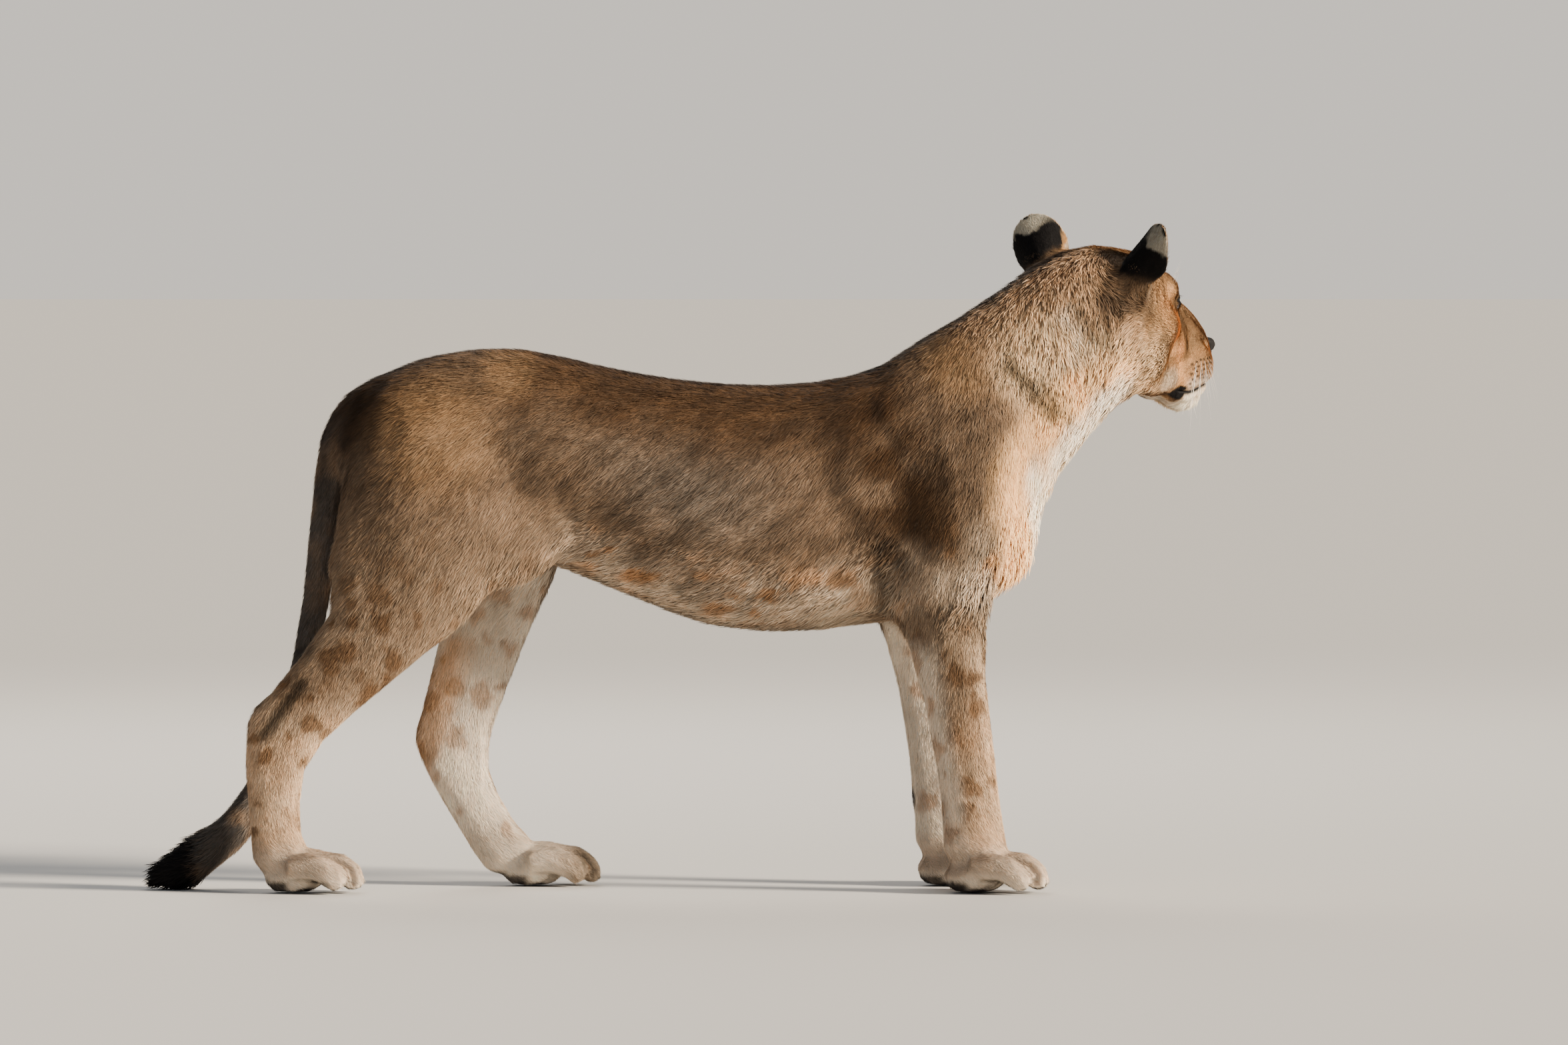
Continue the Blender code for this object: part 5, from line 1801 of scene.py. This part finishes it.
@dataclass(frozen=True)
class Blade:
    """The make of a tuft: stations along it as shares of its length, with their widths, rises and shades; the
    shades darken the root as painted shade under the coat.
    """

    name: str
    stations: tuple[float, ...]
    widths: tuple[float, ...]
    rises: tuple[float, ...]
    shades: tuple[float, ...]

    @property
    def points(self) -> int:
        """How many points a tuft has: two at each station, and one at the tip."""
        return 2 * len(self.stations) - 1

    @property
    def triangles(self) -> int:
        """How many triangles a tuft has."""
        return self.points - 2

    def spread(self, values: tuple[float, ...]) -> Array:
        """A value for each station, given to the tuft's points."""
        return np.repeat(np.array(values), [2] * (len(values) - 1) + [1])

    def faces(self, count: int) -> list[Array]:
        """The faces of tufts whose points follow one another: quads between stations, and tip triangles.

        Args:
            count: how many tufts.

        Returns:
            Indices of the quads, if it has any, and of the tips.
        """
        base = np.arange(count)[:, None] * self.points
        tips = base + [self.points - 3, self.points - 2, self.points - 1]
        if len(self.stations) == 2:
            return [tips]
        quads = np.arange(len(self.stations) - 2)[:, None] * 2 + [0, 1, 3, 2]
        return [(base[:, None] + quads).reshape(-1, 4), tips]


# shades: darker at the root, painted shade under the coat, and paler at the tip
SHORT = Blade("short", (0.0, 1.0), (1.0, 0.0), (0.0, 1.0), (0.80, 1.06))
LONG = Blade("long", (0.0, 0.55, 1.0), (0.80, 1.0, 0.0), (-0.05, 0.70, 1.0), (0.72, 0.96, 1.08))


@dataclass
class Tufts:
    """Some tufts: their roots, the hide's normals there, their flow, length and width."""

    roots: Array
    facing: Array
    way: Array
    hair: Array
    thick: Array


@dataclass
class Coat:
    """Tufts over the whole hide: thin bent blades, rooted in it, that lie along its flow."""

    skin: Skin
    flow: Flow
    markings: Markings
    cover: float = 2.6  # how many blades lie over each place
    filled: float = 0.56  # share of its width by its length that a blade covers
    face_limit: int = 190000  # in one piece
    budget: int = 1420000  # faces over the whole coat
    draft_share: int = 6  # by which a quick draft divides that budget
    long_from: float = 0.0170  # tufts of longer hair bend at two places, the others at one
    patch: float = 0.003  # of the bake map, for one tuft

    def build(self, tail: Array, ear: Array) -> list[Object]:
        """Grows the coat.

        Args:
            tail: 1 for the hide's points on the tail.
            ear: 1 for the hide's points on the ears.

        Returns:
            The coat's pieces.
        """
        skin = self.skin
        hide = skin.hide
        normals = hide.normals()
        length = lengths(skin.anatomy, hide.points + normals * 0.004, normals, ear)
        bare = skin.face.bare(skin.anatomy.head(hide.points))
        sole = fade(normals[:, 2], -0.6, -0.9) * fade(hide.points[:, 2], 0.012, 0.004)
        width = 0.0004 + 0.052 * length
        density = self.cover / (self.filled * width * length) * (1 - np.maximum(bare, sole))
        rng = np.random.default_rng(7)
        face, shares, growth = self._sow(length, density, rng)

        def at(values: Array) -> Array:
            """A value of the hide's points, at the roots."""
            picked = values[hide.triangles[face]]
            return np.einsum("nc,nc...->n...", shares, picked)

        roots, facing, way = at(hide.points), unit(at(normals)), at(self.flow.way)
        hair, thick = at(length), at(width) / math.sqrt(growth)
        tint = self.markings.paint(roots, facing, at(tail), at(ear))
        owner = skin.owner[hide.triangles[face, 0]]
        places = Unwrap(skin).places(roots, owner)
        made = []
        for kind in (SHORT, LONG):
            chosen = (hair >= self.long_from) == (kind is LONG)
            group = Tufts(roots[chosen], facing[chosen], way[chosen], hair[chosen], thick[chosen])
            blades = self._blades(group, kind, rng)
            shade = self._shades(tint[chosen], group, kind, rng)
            uv = self._patches(places[chosen], kind)
            made += self._pieces(kind, blades, shade, uv, owner[chosen])
        return made

    def _sow(self, length: Array, density: Array, rng: np.random.Generator) -> tuple[Array, Array, float]:
        """Scatters the tufts over the hide, thinned out evenly if the whole coat is over its budget.

        Args:
            length: of the hair at each of the hide's points.
            density: tufts wanted there to the square metre.
            rng: source of the random draws.

        Returns:
            The triangle under each tuft, the shares of its corners, and the share of the tufts that grow.
        """
        triangles = self.skin.hide.triangles
        first, second, third = self.skin.hide.points[triangles].swapaxes(0, 1)
        area = np.linalg.norm(np.cross(second - first, third - first), axis=1) / 2
        expected = area * density[triangles].mean(1)
        cost = np.where(length >= self.long_from, LONG.triangles, SHORT.triangles)
        budget = self.budget / 1
        growth = min(1.0, budget / np.sum(expected * cost[triangles].mean(1)))
        log.info("coat: %.0f tufts wanted, %.0f grown", expected.sum(), growth * expected.sum())
        ends = np.cumsum(expected * growth)
        marks = np.arange(int(ends[-1])) + rng.random(int(ends[-1]))
        face = np.minimum(np.searchsorted(ends, marks), len(ends) - 1)
        first, second = rng.random((2, len(face)))
        flip = first + second > 1
        first, second = np.where(flip, 1 - first, first), np.where(flip, 1 - second, second)
        return face, np.stack([1 - first - second, first, second], 1), growth

    def _blades(self, tufts: Tufts, kind: Blade, rng: np.random.Generator) -> Array:
        """Points of each tuft: two at each of its stations, and its tip.

        Each station lies along the flow by its share of the length, rises off the hide by its share of
        the coat's depth, and drifts to its lock's middle with the square of that share.

        Args:
            tufts: the tufts.
            kind: the tufts' make.
            rng: source of the random draws.

        Returns:
            The points of each tuft.
        """
        roots, facing, hair = tufts.roots, tufts.facing, tufts.hair
        count = len(roots)
        way = unit(tufts.way - facing * np.sum(tufts.way * facing, 1, keepdims=True))
        side = np.cross(facing, way)
        long_hair = fade(hair, 0.014, 0.026)
        small, large = noise(roots, 0.014, 91), noise(roots, 0.040, 92)
        swing = small * (0.12 + 0.12 * long_hair) + large * (0.20 + 0.14 * long_hair)
        way = unit(way + side * (swing + rng.normal(0, 0.13, count))[:, None])
        side = np.cross(facing, way)
        length = hair * rng.uniform(0.72, 1.18, count) * (1 + 0.18 * noise(roots, 0.02, 93))
        lift = coat_depth(length) * rng.uniform(0.45, 1.0, count)
        lift = lift * (1 + 0.35 * long_hair * rng.normal(0, 1, count))
        lift = np.clip(lift, 0.0004, coat_depth(hair) * 1.25)
        pull = self._to_lock(roots, hair) * (0.10 + 0.26 * long_hair)[:, None]
        pull -= facing * np.sum(pull * facing, 1, keepdims=True)
        pull += side * (rng.normal(0, 0.10, count) * length)[:, None]
        twist = rng.normal(0, 0.30, count)
        flat = side * np.cos(twist)[:, None] + facing * np.sin(twist)[:, None]
        points = np.empty((count, kind.points, 3))
        row = 0
        for share, breadth, rise in zip(kind.stations, kind.widths, kind.rises):
            middle = roots + way * (length * share)[:, None] + facing * (lift * rise)[:, None]
            middle = middle + pull * share**2
            half = flat * (tufts.thick * breadth / 2)[:, None]
            if breadth > 0:
                points[:, row], points[:, row + 1] = middle - half, middle + half
                row += 2
            else:
                points[:, row] = middle
        points[..., 2] = np.maximum(points[..., 2], 0.0003)
        return points

    @staticmethod
    def _to_lock(roots: Array, hair: Array) -> Array:
        """The way from each root to the mean of the roots in its cell, which is larger for long hair.

        Args:
            roots: where the tufts grow.
            hair: their lengths.

        Returns:
            One way for each root.
        """
        size = np.where(hair > 0.018, 0.0090, 0.0060)[:, None]
        ragged = roots + 0.004 * np.stack([noise(roots, 0.012, 96 + k) for k in range(3)], 1)
        cell = np.floor(ragged / size).astype(np.int64)
        code = (cell[:, 0] * 92821 + cell[:, 1]) * 92821 + cell[:, 2]
        _, home, members = np.unique(code, return_inverse=True, return_counts=True)
        middle = np.stack([np.bincount(home, axis) / members for axis in roots.T], 1)
        return middle[home] - roots

    def _shades(self, tint: Array, tufts: Tufts, kind: Blade, rng: np.random.Generator) -> Array:
        """Colours of each tuft's points: dark at the root as painted shade under the coat, and banded, pale
        or black at the tip.

        Args:
            tint: the markings' colour at each root.
            tufts: the tufts.
            kind: the tufts' make.
            rng: source of the random draws.

        Returns:
            A colour for each point of each tuft.
        """
        count = len(tint)
        luma = tint @ (0.3, 0.6, 0.1)
        grizzled = fade(luma, 0.70, 0.35) * fade(luma, 0.02, 0.08)
        grain = noise(tufts.roots, 0.0055, 95)
        tone = 1 + grizzled * (0.10 * grain + rng.normal(0, 0.12, count)) + rng.normal(0, 0.05, count)
        ticked = (rng.random(count) < 0.13) * grizzled
        pale = (rng.random(count) < 0.20) * grizzled
        tone = np.clip(tone * (1 - 0.38 * ticked + 0.28 * pale), 0.25, 1.9)
        cool = rng.normal(0, 0.05, count)[:, None] * np.array([1, 0, -1])
        colour = tint * (1 + cool) * tone[:, None]
        shade = colour[:, None, :] * kind.spread(kind.shades)[None, :, None]
        tip = 1 + grizzled * np.where(rng.random(count) < 0.30, -0.35, 0.14)
        shade[:, -1] *= tip[:, None]
        return shade

    def _patches(self, places: Array, kind: Blade) -> Array:
        """The bake map: a small square for each tuft, about its root's place on the unwrap."""
        along = kind.spread(kind.stations) - 0.5
        across = np.append(np.tile((-0.5, 0.5), len(kind.stations) - 1), 0.0)
        return places[:, None, :] + self.patch * np.stack([across, along], 1)[None]

    def _pieces(self, kind: Blade, blades: Array, shade: Array, uv: Array, owner: Array) -> list[Object]:
        """Splits the tufts into pieces by the part of the body they grow on.

        Args:
            kind: the tufts' make.
            blades: points of each tuft.
            shade: their colours.
            uv: their places on the bake map.
            owner: index of the solid that each tuft grows on.

        Returns:
            The pieces.
        """
        finish = HairFinish("coat_" + kind.name).material()
        made = []
        for family, starts in FAMILIES.items():
            wanted = [index for index, name in enumerate(self.skin.flesh) if name.startswith(starts)]
            chosen = np.nonzero(np.isin(owner, wanted))[0]
            if not len(chosen):
                continue
            parts = np.array_split(chosen, -(-len(chosen) * kind.triangles // self.face_limit))
            for number, part in enumerate(parts, 1):
                name = f"coat_{family}_{kind.name}" + (f"_{number}" if len(parts) > 1 else "")
                piece = piece_from(name, blades[part].reshape(-1, 3), kind.faces(len(part)), finish)
                give_tint(piece, shade[part].reshape(-1, 3))
                give_uv(piece, "OFBake", uv[part].reshape(-1, 2))
                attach(piece, "root")
                made.append(piece)
        return made


# ---- eyes, nose and whiskers
@dataclass
class Eyes:
    """Two eyeballs with a raised cornea, in the sockets that the frame leaves."""

    anatomy: Anatomy
    cornea_angle: float = 0.60
    cornea_height: float = 0.0011
    gaze: float = 13  # degrees outwards, which is less than the lids face
    rings: int = 40
    sectors: int = 56

    def build(self) -> list[Object]:
        """Makes both eyes.

        Each is a sphere on (turn, angle from the line of sight), raised over the cornea by a smooth cap.

        Returns:
            The two pieces.
        """
        finish = EyeFinish().material()
        made = []
        for side in Side:
            centre, _, radius = self.anatomy.eye(side)
            outward = math.radians(self.gaze)
            sight = unit(np.array([math.cos(outward), side.value * math.sin(outward), 0.02]))
            angle = np.linspace(0.002, math.pi - 0.002, self.rings)[:, None]
            turn = np.linspace(0, math.tau, self.sectors, endpoint=False)[None]
            across = unit(np.cross(sight, (0, 0, 1.0)))
            up = np.cross(across, sight)
            reach = radius - 0.0006 + self.cornea_height * fade(angle, self.cornea_angle, 0.0)
            spin = across * np.cos(turn)[..., None] + up * np.sin(turn)[..., None]
            ball = reach[..., None] * (sight * np.cos(angle)[..., None] + spin * np.sin(angle)[..., None])
            points = self.anatomy.from_head(centre + ball.reshape(-1, 3))
            poles = self.anatomy.from_head(centre + np.outer((reach[0, 0], -reach[-1, 0]), sight))
            faces = [grid_faces(self.rings, self.sectors, True), pole_fans(self.rings, self.sectors)]
            eye = piece_from("eyeball_" + side.word, np.vstack([points, poles]), faces, finish)
            polar = np.stack(np.broadcast_arrays(turn / math.tau, angle / math.pi), -1).reshape(-1, 2)
            give_uv(eye, "Polar", np.vstack([polar, [[0.5, 0.0], [0.5, 1.0]]]))
            turned_outward(eye)
            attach(eye, "root")
            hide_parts("eye_" + side.word)
            made.append(eye)
        return made


@dataclass
class NoseLeather:
    """The bare nose: a domed inverted triangle with two curled nostrils and a groove down its middle."""

    anatomy: Anatomy
    half_width: float = 0.0305
    top: float = -0.0735
    foot: float = -0.1090
    front: float = 0.1540
    rings: int = 34
    sectors: int = 96

    def build(self) -> Object:
        """Makes the nose as a height over polar rings, closed by a rim that turns back into the muzzle.

        Returns:
            The piece.
        """
        turn = np.linspace(0, math.tau, self.sectors, endpoint=False)[None]
        share = np.linspace(0.001, 1, self.rings)[:, None]
        across, high = np.cos(turn), np.sin(turn)
        squared = (np.abs(across) ** 2.6 + np.abs(high) ** 2.6) ** (-1 / 2.6)
        left = share * across * squared
        tall = share * high * squared
        taper = 0.70 + 0.30 * np.clip(tall, -1, 1) - 0.10 * fade(tall, -0.5, -1.0)
        middle = (self.top + self.foot) / 2
        y = left * self.half_width * taper
        z = middle + tall * (self.top - self.foot) / 2 + 0.0025 * np.abs(left) * fade(tall, -0.2, 0.6)
        x = self.front - 0.0075 * left**2 - 0.0060 * fade(tall, 0.1, 1.0) - 0.0045 * fade(tall, -0.2, -1.0)
        x = x - 0.012 * fade(share, 0.86, 1.0) - 0.0016 * bump(left, 0, 0.12) * fade(tall, 0.7, 0.2)
        side = np.abs(left)
        flat = np.stack([side.ravel(), tall.ravel()], 1)
        hole = strip(flat, (0.44, -0.12), (0.52, -0.02), 0.24, 0.08)
        slit = strip(flat, (0.52, -0.05), (0.86, -0.32), 0.15, 0.04)
        wing = strip(flat, (0.50, 0.34), (0.82, 0.16), 0.30, 0.0)
        x = x - (0.0085 * hole + 0.0050 * slit - 0.0016 * wing).reshape(x.shape)
        front = np.stack(np.broadcast_arrays(x, y, z), -1)
        rim = front[-1:] * (1, 0.9, 1) - (0.010, 0, 0)
        shells = np.vstack([front, rim]).reshape(-1, 3)
        poles = np.array([front[0].mean(0), rim[0].mean(0)])
        points = self.anatomy.from_head(np.vstack([shells, poles]))
        finish = LeatherFinish("nose_skin", (0.006, 0.005, 0.0045), roughness=0.52).material()
        rows = self.rings + 1
        faces = [grid_faces(rows, self.sectors, True), pole_fans(rows, self.sectors)]
        nose = piece_from("nose_leather", points, faces, finish)
        turned_outward(nose)
        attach(nose, "root")
        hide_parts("nose")
        return nose


@dataclass
class Whiskers:
    """Stiff white hairs on the lips, over the eyes and on the chin: tapered tubes along bent lines."""

    anatomy: Anatomy
    skin: Skin
    stations: int = 8
    sides: int = 4

    def build(self) -> list[Object]:
        """Makes the white whiskers as one piece and the dark lashes as another.

        Returns:
            The two pieces.
        """
        rng = np.random.default_rng(11)
        white, dark = [], []  # each: root, way, length, radius
        for side in Side:
            out = side.value
            for row, column in np.ndindex(4, 5):
                way = (-0.60 - 0.12 * column + rng.normal(0, 0.08), out * (0.80 - 0.04 * column),
                       -0.12 - 0.14 * row + rng.normal(0, 0.08))
                place = (0.100 - 0.012 * column, out * 0.060, -0.100 - 0.0085 * row)
                white.append((place, way, 0.062 + 0.014 * column + rng.uniform(-0.012, 0.014), 0.00028))
            for number in range(7):
                way = (0.30 - 0.10 * number, out * (0.25 + 0.05 * number), 0.85 + rng.normal(0, 0.15))
                place = (0.000 - 0.004 * number, out * (0.046 + 0.003 * number), 0.030)
                white.append((place, way, 0.040 + rng.uniform(-0.010, 0.012), 0.00026))
            for number in range(8):
                way = (0.12 + rng.normal(0, 0.5), out * rng.uniform(0.1, 0.8), -1.0)
                place = (0.116 - 0.010 * number, out * (0.010 + 0.003 * number), -0.178)
                white.append((place, way, 0.014 + rng.uniform(-0.004, 0.012), 0.00024))
            for number in range(16):
                share = number / 15
                way = (0.75 + rng.normal(0, 0.10), out * (0.45 + 0.35 * share), 0.10 + rng.normal(0, 0.15))
                place = (0.012 - 0.018 * share, out * (0.040 + 0.018 * share), 0.008)
                dark.append((place, way, 0.013 + rng.uniform(-0.003, 0.003), 0.00032))
        return [self._piece("whiskers", white, (0.80, 0.78, 0.74, 1.0), rng),
                self._piece("lashes", dark, (0.010, 0.008, 0.007, 1.0), rng)]

    def _piece(self, name: str, hairs: list, colour: tuple, rng: np.random.Generator) -> Object:
        """One piece of stiff hairs, each given as its root, way, length and radius in the head's axes.

        Args:
            name: the piece's name.
            hairs: the hairs.
            colour: of them all.
            rng: source of the random draws.

        Returns:
            The piece.
        """
        roots, ways, length, radius = (np.array(part) for part in zip(*hairs))
        start = self.anatomy.from_head(self._on_skin(roots))
        points, faces = self._tubes(start, unit(ways) @ self.anatomy.head_axes.T, length, radius, rng)
        finish = Graph(name)
        finish.set(Base_Color=colour, Roughness=0.4)
        piece = piece_from(name, points, faces, finish.material)
        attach(piece, "root")
        return piece

    def _on_skin(self, places: Array) -> Array:
        """Head places moved to the nearest point of the hide."""
        head = self.anatomy.head(self.skin.hide.points)
        near = [int(np.argmin(np.sum((head - place) ** 2, 1))) for place in places]
        return head[near]

    def _tubes(self, start: Array, way: Array, length: Array, radius: Array,
               rng: np.random.Generator) -> tuple[Array, list[Array]]:
        """Tubes that droop with the square of the way along them and taper to a point.

        Args:
            start: where each hair starts.
            way: its way there.
            length: its length.
            radius: its radius.
            rng: source of the random draws.

        Returns:
            The tubes' points and faces.
        """
        share = np.linspace(0, 1, self.stations)
        droop = np.array([0, 0, -1.0]) * rng.uniform(0.08, 0.30, len(start))[:, None]
        spine = start[:, None] + length[:, None, None] * (way[:, None] * share[None, :, None]
                                                          + droop[:, None] * (share**2)[None, :, None])
        spine = spine - way[:, None] * 0.002
        across = unit(np.cross(way, (0.1, 0.2, 1.0)))
        other = np.cross(way, across)
        turn = np.linspace(0, math.tau, self.sides, endpoint=False)
        ring = across[:, None] * np.cos(turn)[None, :, None] + other[:, None] * np.sin(turn)[None, :, None]
        thick = radius[:, None] * (1 - 0.9 * share**1.5)[None]
        points = spine[:, :, None] + ring[:, None] * thick[..., None, None]
        quads = grid_faces(self.stations, self.sides, True)
        size = self.stations * self.sides
        base = np.arange(len(start))[:, None, None] * size
        caps = np.array([np.arange(self.sides)[::-1], size - self.sides + np.arange(self.sides)])
        return points.reshape(-1, 3), [(base + quads).reshape(-1, 4), (base + caps).reshape(-1, self.sides)]


# ---- studio
@dataclass
class Studio:
    """A pale floor, soft lights and the camera, set from the right fore paw and the midline."""

    anatomy: Anatomy
    camera: Place = (0.1579, -18.086, 1.2)
    target: Place = (0.1579, -0.086, 0.5766)
    lens: float = 266.1
    floor_half: float = 60.0
    sun: float = 12.0
    sun_from: Place = (0.880, -0.330, 0.360)
    backdrop: Colour = (0.86, 0.80, 0.72)

    def build(self) -> None:
        """Makes everything that isn't part of the animal."""
        self._floor()
        self._camera()
        self._sun()
        self._light("fill", (-2.5, -6.5, 3.0), 5.0, 70, (0.90, 0.95, 1.0))
        self._light("rim", (-0.8, 4.5, 4.2), 3.5, 170, (1.0, 0.95, 0.88))
        self._world()

    def _sun(self) -> None:
        """A warm key light from ahead of her, low and soft, as bright far off as it is near."""
        data = bpy.data.lights.new("key", "SUN")
        data.energy, data.angle, data.color = self.sun, math.radians(12), (1.0, 0.88, 0.72)
        light = bpy.data.objects.new("key", data)
        light.rotation_euler = (-Vector(self.sun_from)).to_track_quat("-Z", "Y").to_euler()
        bpy.context.scene.collection.objects.link(light)

    def _world(self) -> None:
        """A cool dim sky for the light, seen by the camera as a backdrop in the floor's own tone."""
        world = bpy.data.worlds.new("studio")
        world.use_nodes = True
        tree = world.node_tree
        sky, seen = tree.nodes["Background"], tree.nodes.new("ShaderNodeBackground")
        path, mix = tree.nodes.new("ShaderNodeLightPath"), tree.nodes.new("ShaderNodeMixShader")
        sky.inputs["Color"].default_value = (0.78, 0.86, 0.98, 1)
        sky.inputs["Strength"].default_value = 0.24
        seen.inputs["Color"].default_value = (*self.backdrop, 1)
        tree.links.new(path.outputs["Is Camera Ray"], mix.inputs[0])
        tree.links.new(sky.outputs[0], mix.inputs[1])
        tree.links.new(seen.outputs[0], mix.inputs[2])
        tree.links.new(mix.outputs[0], tree.nodes["World Output"].inputs["Surface"])
        bpy.context.scene.world = world

    def _floor(self) -> None:
        """A wide pale ground at the height of the soles."""
        half = self.floor_half
        corners = np.array([(-half, -half, 0), (half, -half, 0), (half, half, 0), (-half, half, 0)], float)
        graph = Graph("studio_floor")
        graph.set(Base_Color=(0.60, 0.58, 0.55, 1.0), Roughness=0.85)
        floor = piece_from("floor", corners, [np.array([[0, 1, 2, 3]])], graph.material)

    def _camera(self) -> None:
        """A long lens, level with the back, square to the right side."""
        data = bpy.data.cameras.new("camera")
        data.lens, data.sensor_width, data.clip_end = self.lens, 36, 200
        camera = bpy.data.objects.new("camera", data)
        camera.location = self.anatomy.shift + self.camera
        aim = Vector(self.anatomy.shift + self.target) - camera.location
        camera.rotation_euler = aim.to_track_quat("-Z", "Y").to_euler()
        bpy.context.scene.collection.objects.link(camera)
        bpy.context.scene.camera = camera

    def _light(self, name: str, place: tuple, size: float, power: float, colour: Colour) -> None:
        """A square soft light that faces the middle of the animal.

        Args:
            name: the light's name.
            place: where it stands.
            size: of its side.
            power: in watts.
            colour: of its light.
        """
        data = bpy.data.lights.new(name, "AREA")
        data.size, data.energy, data.color = size, power, colour
        light = bpy.data.objects.new(name, data)
        light.location = place
        light.rotation_euler = (Vector((0.1, 0, 0.5)) - light.location).to_track_quat("-Z", "Y").to_euler()
        bpy.context.scene.collection.objects.link(light)


def main() -> None:
    """Loads the frame, dresses it and notes how large it is."""
    logging.basicConfig(level=logging.INFO, format="%(name)s: %(message)s")
    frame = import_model()
    anatomy = Anatomy()
    skin = Skin(frame, anatomy)
    markings = Markings(anatomy, skin.face)
    tail = skin.on("tail", 3)
    normals = skin.hide.normals()
    # the hide takes the markings darkened to 0.8, painted shade between the tufts
    pieces = [skin.build(0.8 * markings.paint(skin.hide.points, normals, tail, skin.ear))]
    pieces += Coat(skin, Flow(skin), markings).build(tail, skin.ear)
    pieces += [*Eyes(anatomy).build(), NoseLeather(anatomy).build(), *Whiskers(anatomy, skin).build()]
    for piece in pieces:
        log.info("%s: %d faces", piece.name, len(piece.data.polygons))
    Studio(anatomy).build()


if __name__ == "__main__":
    main()
